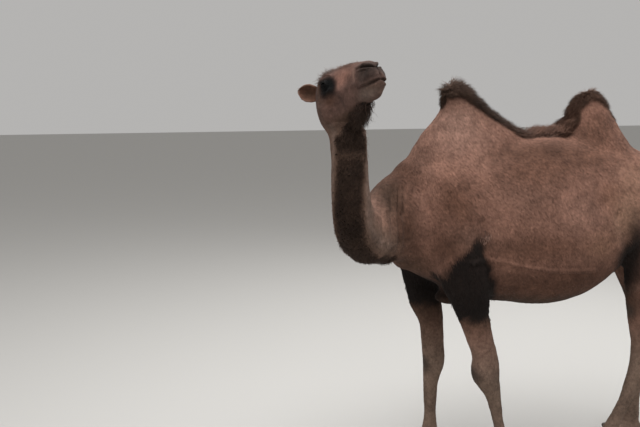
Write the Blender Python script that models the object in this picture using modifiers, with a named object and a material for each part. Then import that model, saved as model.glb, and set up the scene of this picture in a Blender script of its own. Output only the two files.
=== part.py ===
"""Bactrian camel, a still life-size model, standing with its neck bent round to its left and its head raised.

Forward is -X, the camel's own left is -Y, up is +Z and the floor is z = 0.
Tubes lofted through a few named sections and some muscle masses are fused into one body, which is then
parted into named nodes by thin cuts. The sizes include the coat: short summer wool, with longer hair on the
humps, along the back, down the throat and on the forearms.
"""

import math

import bmesh
import bpy
import numpy as np
from mathutils import Matrix, Vector

# Driving dimensions, in metres
FRONT_HUMP_TOP = 1.95
REAR_HUMP_TOP = 1.905
HEAD_LENGTH = 0.48
HEAD_TURN = math.radians(-79)
HEAD_PITCH = math.radians(21)
HEAD_ROLL = math.radians(4)
POLL = Vector((-1.264, -0.205, 1.826))
EYE_RADIUS = 0.021
EYE_AT = (0.157, 0.067, 0.050)
EAR_AT = (0.035, 0.064, 0.058)
EAR_LENGTH = 0.098
EAR_WIDTH = 0.080
EAR_WALL = 0.006
EAR_ROOT = 0.020
PAD_WIDTH = 0.078
TOE_WIDTH = 0.043
TOE_SPREAD = 0.040

# The body is modelled on its own middle plane. This shift brings the whole to the middle of its footprint.
FOOTPRINT_SHIFT = (0.339, 0.156, 0.0)

VOXEL = 0.007
EVEN_TRIANGLES = 15000
BODY_TRIANGLES = 4200
CUT_GAP = 0.001
NEAR, FAR = -1, 1
UP = Vector((0, 0, 1))
DOWN = Vector((0, 0, -1))

COLOURS = {
    "coat": ((0.33, 0.22, 0.16, 1), 0.85),
    "dark_hair": ((0.05, 0.03, 0.022, 1), 0.9),
    "pale_leg": ((0.42, 0.31, 0.23, 1), 0.85),
    "eye": ((0.01, 0.008, 0.007, 1), 0.08),
    "nail": ((0.09, 0.075, 0.06, 1), 0.5),
}

# Trunk: x, top, bottom, half width, height of the widest place, power of the section
TRUNK = [
    (-0.945, 1.41, 1.14, 0.06, 1.26, 2.0),
    (-0.88, 1.53, 1.075, 0.13, 1.25, 2.0),
    (-0.79, 1.60, 1.02, 0.20, 1.22, 2.0),
    (-0.68, 1.65, 0.965, 0.25, 1.20, 2.0),
    (-0.55, 1.665, 0.905, 0.28, 1.18, 2.0),
    (-0.42, 1.675, 0.865, 0.305, 1.16, 2.0),
    (-0.28, 1.68, 0.846, 0.335, 1.13, 2.05),
    (-0.14, 1.69, 0.829, 0.350, 1.12, 2.1),
    (0.00, 1.69, 0.845, 0.350, 1.12, 2.1),
    (0.14, 1.68, 0.903, 0.330, 1.15, 2.05),
    (0.28, 1.66, 1.030, 0.295, 1.22, 2.0),
    (0.40, 1.62, 1.180, 0.265, 1.30, 2.0),
    (0.50, 1.56, 1.25, 0.220, 1.33, 2.0),
    (0.58, 1.48, 1.28, 0.150, 1.35, 2.0),
    (0.63, 1.40, 1.31, 0.060, 1.35, 2.0),
]

# Humps: height, front, rear, half width
FRONT_HUMP = [
    (1.30, -0.840, -0.160, 0.250),
    (1.45, -0.835, -0.165, 0.220),
    (1.56, -0.820, -0.165, 0.180),
    (1.64, -0.785, -0.170, 0.145),
    (1.71, -0.735, -0.245, 0.112),
    (1.76, -0.690, -0.325, 0.096),
    (1.81, -0.652, -0.400, 0.082),
    (1.87, -0.650, -0.470, 0.066),
    (1.92, -0.632, -0.515, 0.045),
    (FRONT_HUMP_TOP, -0.598, -0.562, 0.014),
]
REAR_HUMP = [
    (1.35, -0.060, 0.430, 0.260),
    (1.48, -0.050, 0.430, 0.220),
    (1.58, -0.040, 0.410, 0.175),
    (1.67, -0.020, 0.355, 0.135),
    (1.75, 0.020, 0.300, 0.105),
    (1.82, 0.048, 0.250, 0.085),
    (1.87, 0.078, 0.215, 0.060),
    (REAR_HUMP_TOP, 0.130, 0.178, 0.016),
]

# Long hair along the back between the humps: x, y, z, half size up, down and sideways, power
BACK_MANE = [
    (-0.36, 0.0, 1.70, 0.030, 0.06, 0.045, 2.0),
    (-0.26, 0.0, 1.68, 0.045, 0.06, 0.055, 2.0),
    (-0.15, 0.0, 1.675, 0.052, 0.06, 0.060, 2.0),
    (-0.05, 0.0, 1.69, 0.055, 0.06, 0.060, 2.0),
    (0.03, 0.0, 1.72, 0.050, 0.06, 0.055, 2.0),
    (0.09, 0.0, 1.75, 0.020, 0.06, 0.030, 2.0),
]

# Neck: x, y, z, half size to the nape, to the throat and sideways, power, direction of the nape
NECK = [
    (-0.60, 0.00, 1.33, 0.26, 0.26, 0.20, 2.0, 0.0, 0.0, 1.0),
    (-0.81, -0.02, 1.30, 0.24, 0.22, 0.175, 2.0, 0.05, 0.05, 1.0),
    (-0.97, -0.10, 1.26, 0.19, 0.17, 0.145, 2.0, 0.2, 0.2, 1.0),
    (-1.10, -0.22, 1.268, 0.155, 0.145, 0.115, 2.0, 0.4, 0.5, 0.8),
    (-1.172, -0.305, 1.35, 0.135, 0.13, 0.098, 2.0, 0.5, 0.8, 0.4),
    (-1.195, -0.33, 1.47, 0.115, 0.12, 0.090, 2.0, 0.35, 0.95, 0.0),
    (-1.202, -0.33, 1.62, 0.105, 0.115, 0.086, 2.0, 0.2, 0.98, 0.0),
    (-1.212, -0.315, 1.74, 0.105, 0.11, 0.085, 2.0, -0.1, 0.97, 0.0),
    (-1.230, -0.275, 1.83, 0.095, 0.09, 0.080, 2.0, -0.25, 0.9, 0.35),
    (-1.238, -0.255, 1.88, 0.045, 0.05, 0.050, 2.0, -0.3, 0.85, 0.45),
]

# Legs: x, y, z, half size forward, backward and sideways, power
FORE_NEAR = [
    (-0.60, -0.16, 1.36, 0.10, 0.10, 0.07, 2.0),
    (-0.605, -0.195, 1.22, 0.15, 0.14, 0.085, 2.0),
    (-0.595, -0.205, 1.08, 0.145, 0.135, 0.09, 2.0),
    (-0.562, -0.20, 0.94, 0.112, 0.112, 0.085, 2.0),
    (-0.531, -0.19, 0.83, 0.084, 0.084, 0.074, 2.0),
    (-0.501, -0.185, 0.735, 0.071, 0.071, 0.064, 2.0),
    (-0.466, -0.18, 0.63, 0.069, 0.069, 0.058, 2.1),
    (-0.453, -0.178, 0.53, 0.072, 0.071, 0.062, 2.3),
    (-0.417, -0.176, 0.435, 0.047, 0.047, 0.047, 2.2),
    (-0.387, -0.175, 0.31, 0.034, 0.034, 0.036, 2.1),
    (-0.363, -0.175, 0.20, 0.036, 0.038, 0.038, 2.1),
    (-0.350, -0.175, 0.13, 0.050, 0.050, 0.052, 2.1),
    (-0.355, -0.175, 0.07, 0.058, 0.056, 0.057, 2.1),
    (-0.358, -0.175, 0.03, 0.050, 0.050, 0.050, 2.1),
]
FORE_FAR = [
    (-0.64, 0.16, 1.36, 0.10, 0.10, 0.07, 2.0),
    (-0.645, 0.195, 1.22, 0.15, 0.15, 0.085, 2.0),
    (-0.65, 0.205, 1.08, 0.14, 0.14, 0.09, 2.0),
    (-0.643, 0.195, 0.93, 0.110, 0.115, 0.085, 2.0),
    (-0.636, 0.18, 0.84, 0.094, 0.094, 0.075, 2.0),
    (-0.608, 0.17, 0.735, 0.071, 0.071, 0.065, 2.0),
    (-0.596, 0.165, 0.60, 0.065, 0.065, 0.057, 2.1),
    (-0.592, 0.16, 0.50, 0.061, 0.061, 0.060, 2.3),
    (-0.603, 0.16, 0.42, 0.048, 0.048, 0.047, 2.2),
    (-0.606, 0.16, 0.31, 0.042, 0.042, 0.039, 2.1),
    (-0.605, 0.16, 0.20, 0.038, 0.039, 0.040, 2.1),
    (-0.606, 0.16, 0.13, 0.050, 0.050, 0.052, 2.1),
    (-0.614, 0.16, 0.07, 0.058, 0.056, 0.057, 2.1),
    (-0.617, 0.16, 0.03, 0.050, 0.050, 0.050, 2.1),
]
HIND_NEAR = [
    (0.42, -0.12, 1.46, 0.14, 0.12, 0.08, 2.0),
    (0.42, -0.165, 1.32, 0.19, 0.17, 0.105, 2.0),
    (0.42, -0.185, 1.18, 0.175, 0.165, 0.11, 2.0),
    (0.410, -0.195, 1.05, 0.143, 0.145, 0.105, 2.0),
    (0.395, -0.20, 0.95, 0.117, 0.118, 0.094, 2.0),
    (0.388, -0.195, 0.83, 0.094, 0.093, 0.076, 2.0),
    (0.392, -0.19, 0.715, 0.073, 0.070, 0.062, 2.0),
    (0.395, -0.185, 0.61, 0.057, 0.058, 0.048, 2.1),
    (0.396, -0.18, 0.51, 0.060, 0.070, 0.050, 2.3),
    (0.362, -0.178, 0.41, 0.047, 0.052, 0.045, 2.2),
    (0.315, -0.176, 0.30, 0.039, 0.040, 0.038, 2.1),
    (0.262, -0.175, 0.205, 0.040, 0.042, 0.040, 2.1),
    (0.228, -0.175, 0.135, 0.049, 0.049, 0.051, 2.1),
    (0.212, -0.175, 0.07, 0.055, 0.054, 0.055, 2.1),
    (0.209, -0.175, 0.03, 0.047, 0.047, 0.047, 2.1),
]
HIND_FAR = [
    (0.45, 0.12, 1.46, 0.14, 0.12, 0.08, 2.0),
    (0.46, 0.165, 1.32, 0.18, 0.15, 0.105, 2.0),
    (0.49, 0.185, 1.18, 0.16, 0.145, 0.11, 2.0),
    (0.525, 0.19, 1.05, 0.118, 0.125, 0.105, 2.0),
    (0.562, 0.195, 0.93, 0.082, 0.102, 0.090, 2.0),
    (0.612, 0.19, 0.83, 0.083, 0.083, 0.075, 2.0),
    (0.630, 0.185, 0.72, 0.070, 0.066, 0.061, 2.0),
    (0.643, 0.18, 0.61, 0.056, 0.057, 0.048, 2.1),
    (0.660, 0.175, 0.51, 0.060, 0.066, 0.050, 2.3),
    (0.650, 0.172, 0.41, 0.046, 0.050, 0.045, 2.2),
    (0.634, 0.17, 0.30, 0.038, 0.040, 0.038, 2.1),
    (0.618, 0.17, 0.20, 0.039, 0.042, 0.040, 2.1),
    (0.608, 0.17, 0.13, 0.049, 0.049, 0.051, 2.1),
    (0.600, 0.17, 0.07, 0.055, 0.054, 0.055, 2.1),
    (0.597, 0.17, 0.03, 0.047, 0.047, 0.047, 2.1),
]

# Tail: a thin dock that ends in a flat tuft
TAIL = [
    (0.555, 0.0, 1.44, 0.050, 0.050, 0.045, 2.0),
    (0.615, 0.0, 1.405, 0.038, 0.038, 0.040, 2.0),
    (0.665, 0.0, 1.33, 0.027, 0.027, 0.030, 2.0),
    (0.690, 0.0, 1.22, 0.022, 0.022, 0.024, 2.0),
    (0.693, 0.0, 1.10, 0.024, 0.024, 0.028, 2.0),
    (0.692, 0.0, 1.00, 0.030, 0.030, 0.036, 2.0),
    (0.687, 0.0, 0.92, 0.024, 0.024, 0.028, 2.0),
    (0.683, 0.0, 0.86, 0.008, 0.008, 0.010, 2.0),
]

# Feet: x and y of the middle of each sole, half length of its pad
FEET = {
    "foreleg_left": (-0.382, -0.176, 0.110),
    "foreleg_right": (-0.642, 0.162, 0.110),
    "hindleg_left": (0.187, -0.176, 0.098),
    "hindleg_right": (0.574, 0.171, 0.098),
}

# Head, in its own frame: distance from the poll, top, bottom, half width, height of the widest place, power
HEAD = [
    (-0.040, 0.010, -0.060, 0.025, -0.020, 2.0),
    (0.000, 0.072, -0.120, 0.058, -0.015, 2.1),
    (0.038, 0.110, -0.160, 0.078, -0.005, 2.2),
    (0.076, 0.126, -0.170, 0.086, 0.000, 2.2),
    (0.123, 0.127, -0.162, 0.088, 0.010, 2.2),
    (0.171, 0.115, -0.146, 0.078, 0.018, 2.2),
    (0.228, 0.095, -0.126, 0.063, 0.010, 2.2),
    (0.285, 0.079, -0.110, 0.051, 0.000, 2.2),
    (0.342, 0.070, -0.102, 0.045, -0.010, 2.2),
    (0.394, 0.064, -0.100, 0.044, -0.015, 2.3),
    (0.430, 0.050, -0.094, 0.041, -0.020, 2.2),
    (0.460, 0.020, -0.080, 0.034, -0.028, 2.1),
    (HEAD_LENGTH, -0.018, -0.055, 0.015, -0.036, 2.0),
]

# Long hair under the jaw, in the head's frame: place, half size up, down and sideways, power
BEARD = [
    (0.370, 0.0, -0.092, 0.02, 0.018, 0.016, 2.0),
    (0.310, 0.0, -0.105, 0.03, 0.045, 0.028, 2.0),
    (0.230, 0.0, -0.120, 0.03, 0.085, 0.036, 2.0),
    (0.150, 0.0, -0.140, 0.03, 0.105, 0.042, 2.0),
    (0.080, 0.0, -0.160, 0.03, 0.100, 0.046, 2.0),
    (0.030, 0.0, -0.170, 0.02, 0.060, 0.040, 2.0),
]

# Forms of the head, alike on both sides: place, reach along, across and up, and how far each stands out
HEAD_FORMS = [
    ((0.143, 0.076, 0.080), (0.040, 0.028, 0.020), 0.013),
    ((0.157, 0.082, 0.048), (0.019, 0.030, 0.015), -0.006),
    ((0.160, 0.085, 0.018), (0.052, 0.030, 0.014), 0.006),
    ((0.081, 0.060, 0.100), (0.027, 0.028, 0.022), -0.007),
    ((0.105, 0.085, -0.070), (0.048, 0.035, 0.045), 0.011),
    ((0.205, 0.060, -0.055), (0.025, 0.035, 0.042), -0.008),
    ((0.266, 0.050, 0.030), (0.043, 0.025, 0.022), -0.004),
    ((0.426, 0.036, 0.032), (0.023, 0.016, 0.018), 0.007),
    ((0.430, 0.036, -0.022), (0.030, 0.030, 0.018), 0.007),
    ((0.410, 0.000, -0.092), (0.027, 0.030, 0.020), 0.007),
    ((0.028, 0.000, 0.107), (0.038, 0.050, 0.030), 0.022),
]


def clear_scene():
    for obj in list(bpy.data.objects):
        bpy.data.objects.remove(obj, do_unlink=True)


def collection(name):
    made = bpy.data.collections.new(name)
    bpy.context.scene.collection.children.link(made)
    return made


def material(name):
    colour, roughness = COLOURS[name]
    made = bpy.data.materials.get(name) or bpy.data.materials.new(name)
    made.use_nodes = True
    made.diffuse_color = colour
    shader = made.node_tree.nodes["Principled BSDF"]
    shader.inputs["Base Color"].default_value = colour
    shader.inputs["Roughness"].default_value = roughness
    shader.inputs["Metallic"].default_value = 0.0
    return made


# ---------------------------------------------------------------- surfaces


def smooth_rows(rows, count):
    """Cubic interpolation of the rows, at equal steps along the path of their first three columns."""
    rows = np.asarray(rows, float)
    at = np.concatenate([[0], np.cumsum(np.linalg.norm(np.diff(rows[:, :3], axis=0), axis=1))])
    slope = np.gradient(rows, at, axis=0)
    want = np.linspace(0, at[-1], count)
    i = np.clip(np.searchsorted(at, want, side="right") - 1, 0, len(at) - 2)
    width = (at[i + 1] - at[i])[:, None]
    t = (want - at[i])[:, None] / width
    return (
        (2 * t**3 - 3 * t**2 + 1) * rows[i]
        + (t**3 - 2 * t**2 + t) * width * slope[i]
        + (3 * t**2 - 2 * t**3) * rows[i + 1]
        + (t**3 - t**2) * width * slope[i + 1]
    )


def rounded(angle, power):
    """Cosine and sine of a superellipse: power 2 is an ellipse, and more is squarer."""
    c, s = np.cos(angle), np.sin(angle)
    return np.sign(c) * np.abs(c) ** (2 / power), np.sign(s) * np.abs(s) ** (2 / power)


def mesh_object(name, points, faces, home):
    mesh = bpy.data.meshes.new(name)
    mesh.from_pydata(np.asarray(points).tolist(), [], faces)
    shell = bmesh.new()
    shell.from_mesh(mesh)
    bmesh.ops.recalc_face_normals(shell, faces=shell.faces)
    shell.to_mesh(mesh)
    shell.free()
    made = bpy.data.objects.new(name, mesh)
    home.objects.link(made)
    return made


def skin_of_rings(name, grid, home):
    """A closed mesh over rings x sides x 3 points, each end closed by a fan to its middle."""
    rings, sides = grid.shape[:2]
    points = np.concatenate([grid.reshape(-1, 3), [grid[0].mean(0)], [grid[-1].mean(0)]])
    ring, side = np.meshgrid(np.arange(rings - 1) * sides, np.arange(sides), indexing="ij")
    after = (side + 1) % sides
    walls = np.stack([ring + side, ring + after, ring + sides + after, ring + sides + side], -1)
    first, last = rings * sides, rings * sides + 1
    end = (rings - 1) * sides
    fans = [(first, (a + 1) % sides, a) for a in range(sides)]
    fans += [(last, end + a, end + (a + 1) % sides) for a in range(sides)]
    return mesh_object(name, points, walls.reshape(-1, 4).tolist() + fans, home)


def tube(name, rows, dorsal, home, rings=60, sides=36, axis=None):
    """A limb or trunk lofted along a smooth path, its sections square to the path, or to axis where given.

    Each row is x, y, z, then the half size to the dorsal side, away from it and sideways, and the power.
    dorsal is one direction for the whole tube, or the row's own last three numbers when it is None.
    """
    rows = np.asarray(rows, float)
    if dorsal is not None:
        rows = np.concatenate([rows, np.broadcast_to(np.array(dorsal, float), (len(rows), 3))], axis=1)
    fine = smooth_rows(rows, rings)
    centre, sizes, facing = fine[:, :3], fine[:, 3:7], fine[:, 7:]
    along = np.gradient(centre, axis=0) if axis is None else np.tile(np.array(axis, float), (rings, 1))
    along /= np.linalg.norm(along, axis=1)[:, None]
    facing = facing - (facing * along).sum(1)[:, None] * along
    facing /= np.linalg.norm(facing, axis=1)[:, None]
    beside = np.cross(along, facing)
    angle = np.linspace(0, 2 * math.pi, sides, endpoint=False)
    c, s = rounded(angle[None, :], sizes[:, 3:4])
    reach = np.where(s > 0, sizes[:, 0:1], sizes[:, 1:2])
    grid = (
        centre[:, None]
        + (sizes[:, 2:3] * c)[..., None] * beside[:, None]
        + (reach * s)[..., None] * facing[:, None]
    )
    return skin_of_rings(name, grid, home)


def mass(name, centre, radii, home, turn=(0, 0, 0), segments=32):
    """A muscle or pad: an ellipsoid with these half sizes, turned by degrees about X, Y and Z."""
    bpy.ops.mesh.primitive_uv_sphere_add(segments=segments, ring_count=segments * 5 // 8, radius=1)
    made = bpy.context.object
    made.name = name
    place = Matrix.Translation(centre)
    for axis, degrees in zip("XYZ", turn):
        place = place @ Matrix.Rotation(math.radians(degrees), 4, axis)
    made.data.transform(place @ Matrix.Diagonal((*radii, 1)))
    for owner in list(made.users_collection):
        owner.objects.unlink(made)
    home.objects.link(made)
    return made


# ---------------------------------------------------------------- head


def head_frame():
    """Turns head coordinates (forward from the poll, to the camel's left, up) into the body's own frame."""
    level = Vector((math.cos(HEAD_TURN), math.sin(HEAD_TURN), 0))
    forward = level * math.cos(HEAD_PITCH) + UP * math.sin(HEAD_PITCH)
    left = UP.cross(level) * math.cos(HEAD_ROLL) + forward.cross(UP.cross(level)) * math.sin(HEAD_ROLL)
    turned = Matrix((forward, left, forward.cross(left))).transposed().to_4x4()
    return Matrix.Translation(POLL) @ turned


def head_grid(rings, sides):
    """Rings of the head in its own frame: superelliptic sections, each form pushed out round its place."""
    rows = [
        (place, 0.0, 0.0, top - level, level - bottom, half, level, power)
        for place, top, bottom, half, level, power in HEAD
    ]
    fine = smooth_rows(rows, rings)
    angle = np.linspace(0, 2 * math.pi, sides, endpoint=False)
    c, s = rounded(angle[None, :], fine[:, 7:8])
    reach = np.where(s > 0, fine[:, 3:4], fine[:, 4:5])
    across, up = fine[:, 5:6] * c, reach * s
    out = np.stack([np.zeros_like(c), c / fine[:, 5:6], s / reach], -1)
    out /= np.linalg.norm(out, axis=-1)[..., None]
    grid = np.stack([np.broadcast_to(fine[:, 0:1], c.shape), across, fine[:, 6:7] + up], -1)
    folded = np.stack([grid[..., 0], np.abs(grid[..., 1]), grid[..., 2]], -1)
    for place, spread, amount in HEAD_FORMS:
        distance = (((folded - place) / spread) ** 2).sum(-1)
        grid = grid + (amount * np.exp(-distance))[..., None] * out
    return grid


def placed(grid, frame):
    """The grid's points carried by the frame."""
    turn, shift = np.array(frame.to_3x3()), np.array(frame.translation)
    return grid @ turn.T + shift


def ear(name, side, home):
    """A cupped leaf: each ring is a crescent, an outer arc and the same arc one wall further in.

    The cup faces forward, and the root reaches into the head, which cuts it off flush.
    """
    rings, around = 9, 7
    t = np.linspace(0, 1, rings)
    half = EAR_WIDTH / 2 * np.interp(t, [0, 0.25, 0.55, 0.85, 1], [0.62, 0.92, 1.0, 0.62, 0.12])
    bend = np.linspace(-1, 1, around)
    arc = 1 - bend**2
    across = np.concatenate([bend, bend[-2:0:-1]])
    cup = np.concatenate([arc, arc[-2:0:-1]])
    inner = np.concatenate([np.zeros(around), np.ones(around - 2)])
    grid = np.zeros((rings, len(across), 3))
    grid[..., 0] = half[:, None] * across
    grid[..., 1] = 0.75 * half[:, None] * cup - EAR_WALL * inner
    grid[..., 2] = EAR_LENGTH * t[:, None] - EAR_ROOT
    tip = Vector((-0.42, side * 0.80, 0.42)).normalized()
    hollow = Vector((0.75, side * 0.35, -0.15))
    hollow = (hollow - hollow.dot(tip) * tip).normalized()
    frame = Matrix((hollow.cross(tip), -hollow, tip)).transposed().to_4x4()
    root = Vector((EAR_AT[0], side * EAR_AT[1], EAR_AT[2]))
    return skin_of_rings(name, placed(grid, head_frame() @ Matrix.Translation(root) @ frame), home)


# ---------------------------------------------------------------- feet


def foot_pad(name, x, y, half, home):
    """The broad pad of one foot: a heel cushion and two toes side by side, flattened on the floor."""
    made = [mass(name, (x + 0.015, y, 0.030), (half * 0.85, PAD_WIDTH, 0.044), home)]
    for side in (-1, 1):
        toe = (x - half * 0.42, y + side * TOE_SPREAD, 0.024)
        made.append(mass(name, toe, (half * 0.62, TOE_WIDTH, 0.036), home, (0, 0, -side * 6)))
    return made


def toenail(name, x, y, half, side, home):
    """A small blunt nail over the tip of a toe."""
    return mass(name, (x - half * 0.98, y + side * 0.046, 0.024), (0.020, 0.019, 0.017), home, (0, 25, 0), 10)


# ---------------------------------------------------------------- solids


def evaluated(obj):
    bpy.context.view_layer.update()
    graph = bpy.context.evaluated_depsgraph_get()
    return bpy.data.meshes.new_from_object(obj.evaluated_get(graph))


def settle(obj):
    """Keeps the result of the object's modifiers as its own mesh."""
    mesh = evaluated(obj)
    obj.modifiers.clear()
    obj.data = mesh


def boolean(obj, cutter, operation):
    modifier = obj.modifiers.new(operation.lower(), "BOOLEAN")
    modifier.operation = operation
    modifier.object = cutter
    settle(obj)


def copy_of(obj, name, home):
    made = bpy.data.objects.new(name, obj.data.copy())
    home.objects.link(made)
    return made


def remove(*objects):
    for obj in objects:
        bpy.data.objects.remove(obj, do_unlink=True)


def grown(obj, by):
    """A copy with each point pushed out along its normal."""
    made = copy_of(obj, obj.name + "_grown", workshop)
    count = len(made.data.vertices)
    points, normals = np.empty(count * 3), np.empty(count * 3)
    made.data.vertices.foreach_get("co", points)
    made.data.vertex_normals.foreach_get("vector", normals)
    made.data.vertices.foreach_set("co", points + by * normals)
    return made


def clear_of(obj, other):
    """Cuts away from obj the space of other, and a thin gap round it."""
    cutter = grown(other, CUT_GAP / 2)
    boolean(obj, cutter, "DIFFERENCE")
    remove(cutter)


def block(name, at, out, side, size, grow):
    """A box that starts at a cut plane and reaches out from it.

    Its sizes are the width along side, the height and the depth.
    """
    out = Vector(out).normalized()
    side = Vector(side)
    side = (side - side.dot(out) * out).normalized()
    turn = Matrix((side, out.cross(side), out)).transposed().to_4x4()
    width, height, depth = size
    bpy.ops.mesh.primitive_cube_add(size=1)
    made = bpy.context.object
    made.name = name
    middle = Matrix.Translation((0, 0, depth / 2))
    scale = Matrix.Diagonal((width + 2 * grow, height + 2 * grow, depth + 2 * grow, 1))
    made.data.transform(Matrix.Translation(at) @ turn @ middle @ scale)
    return made


def part_off(rest, name, at, out, side, size):
    """Cuts the stretch inside a block off the rest, with a thin gap all round, and returns it as a node."""
    piece = copy_of(rest, name, parts)
    inner = block("cell", at, out, side, size, -CUT_GAP / 2)
    outer = block("cell", at, out, side, size, CUT_GAP / 2)
    boolean(piece, inner, "INTERSECT")
    boolean(rest, outer, "DIFFERENCE")
    remove(inner, outer)
    return piece


def fuse(objects, name):
    """One closed skin round overlapping shapes, smoothed where they meet."""
    joined = bmesh.new()
    for obj in objects:
        joined.from_mesh(obj.data)
    mesh = bpy.data.meshes.new(name)
    joined.to_mesh(mesh)
    joined.free()
    made = bpy.data.objects.new(name, mesh)
    workshop.objects.link(made)
    remove(*objects)
    remesh = made.modifiers.new("fuse", "REMESH")
    remesh.mode = "VOXEL"
    remesh.voxel_size = VOXEL
    smooth = made.modifiers.new("smooth", "SMOOTH")
    smooth.factor = 0.5
    smooth.iterations = 8
    settle(made)
    return made


def keep_fine(obj, centre, radius):
    """Marks the points round a place, so that thinning keeps more of them."""
    group = obj.vertex_groups.get("fine") or obj.vertex_groups.new(name="fine")
    points = np.empty(len(obj.data.vertices) * 3)
    obj.data.vertices.foreach_get("co", points)
    near = np.linalg.norm(points.reshape(-1, 3) - np.array(centre), axis=1) < radius
    group.add(np.flatnonzero(near).tolist(), 1.0, "REPLACE")


def thin_out(obj, even, final):
    """Thins the mesh evenly to a first count of triangles, then to the final one away from fine places."""
    triangles = 2 * len(obj.data.polygons)
    for name, wanted in (("even", even), ("final", final)):
        thin = obj.modifiers.new(name, "DECIMATE")
        thin.ratio = wanted / triangles
        thin.use_collapse_triangulate = True
        triangles = wanted
    thin.vertex_group = "fine"
    thin.invert_vertex_group = True
    thin.vertex_group_factor = 1000.0
    settle(obj)


def stand_on_floor(obj):
    """Cuts the body at the floor, which leaves a flat sole under each foot."""
    shell = bmesh.new()
    shell.from_mesh(obj.data)
    everything = shell.verts[:] + shell.edges[:] + shell.faces[:]
    cut = bmesh.ops.bisect_plane(shell, geom=everything, plane_co=(0, 0, 0), plane_no=DOWN, clear_outer=True)
    edges = [item for item in cut["geom_cut"] if isinstance(item, bmesh.types.BMEdge)]
    bmesh.ops.holes_fill(shell, edges=edges)
    bmesh.ops.triangulate(shell, faces=shell.faces)
    bmesh.ops.recalc_face_normals(shell, faces=shell.faces)
    shell.to_mesh(obj.data)
    shell.free()


# ---------------------------------------------------------------- the camel


def body_shapes():
    """The overlapping shapes of the flesh and coat."""
    trunk = [
        (x, 0, level, top - level, level - bottom, half, power)
        for x, top, bottom, half, level, power in TRUNK
    ]
    shapes = [tube("trunk", trunk, (0, 0, 1), workshop, 80, 48, (1, 0, 0))]
    for hump in (FRONT_HUMP, REAR_HUMP):
        rows = [
            ((front + rear) / 2, 0, z, (rear - front) / 2, (rear - front) / 2, half, 2.0)
            for z, front, rear, half in hump
        ]
        shapes.append(tube("hump", rows, (-1, 0, 0), workshop, axis=(0, 0, 1)))
    shapes.append(tube("back_mane", BACK_MANE, (0, 0, 1), workshop))
    shapes.append(tube("neck", NECK, None, workshop, 80, 40))
    for name, rows in (("fore", FORE_NEAR), ("fore", FORE_FAR), ("hind", HIND_NEAR), ("hind", HIND_FAR)):
        shapes.append(tube(name, rows, (-1, 0, 0), workshop, 70, 32))
    shapes.append(tube("tail", TAIL, (1, 0, 0.1), workshop, 40, 20))
    shapes.append(skin_of_rings("head", placed(head_grid(90, 64), head_frame()), workshop))
    beard = tube("beard", BEARD, (0, 0, 1), workshop)
    beard.data.transform(head_frame())
    shapes.append(beard)
    for x, y, half in FEET.values():
        shapes += foot_pad("foot", x, y, half, workshop)
    for side in (NEAR, FAR):
        shoulder, haunch = (-0.62, side * 0.175, 1.27), (0.44, side * 0.165, 1.33)
        shapes.append(mass("shoulder", shoulder, (0.15, 0.085, 0.22), workshop, (side * 8, 12, 0)))
        shapes.append(mass("haunch", haunch, (0.19, 0.10, 0.19), workshop, (side * 10, 0, 0)))
    shapes.append(mass("brisket", (-0.78, 0, 1.14), (0.13, 0.13, 0.115), workshop))
    shapes.append(mass("chest_pad", (-0.565, 0, 0.890), (0.10, 0.08, 0.045), workshop))
    return shapes


# Cuts of each leg, from the foot up: part, x ahead of the leg's middle, height, and the way down.
# The thigh's cut slants with the flank.
LEG_CUTS = {
    "fore": (("foot", 0, 0.115, DOWN), ("cannon", 0, 0.50, DOWN), ("forearm", 0, 0.825, DOWN)),
    "hind": (
        ("foot", 0, 0.115, DOWN),
        ("cannon", 0, 0.49, DOWN),
        ("shank", 0.07, 0.88, DOWN),
        ("thigh", 0.06, 1.165, Vector((0.5, 0, -0.86))),
    ),
}
# Cuts of the neck, humps and tail: node, place and way out of the plane, side of the box, and its sizes
BODY_CUTS = (
    ("neck_upper", (-1.205, -0.33, 1.47), UP, (1, 0, 0), (0.36, 0.44, 0.6)),
    ("neck_lower", (-0.90, -0.055, 1.30), (-0.93, -0.36, 0.06), UP, (0.56, 0.75, 0.6)),
    ("hump_front", (-0.50, 0, 1.655), (-0.17, 0, 1), (0, 1, 0), (0.7, 0.66, 0.5)),
    ("hump_rear", (0.20, 0, 1.660), (0.17, 0, 1), (0, 1, 0), (0.7, 0.46, 0.5)),
    ("tail", (0.643, 0, 1.12), (1, 0, 0), (0, 1, 0), (0.14, 0.7, 0.2)),
)
LEG_MIDDLE = {
    "foreleg_left": (-0.46, -0.24),
    "foreleg_right": (-0.62, 0.24),
    "hindleg_left": (0.37, -0.24),
    "hindleg_right": (0.54, 0.24),
}


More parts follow.
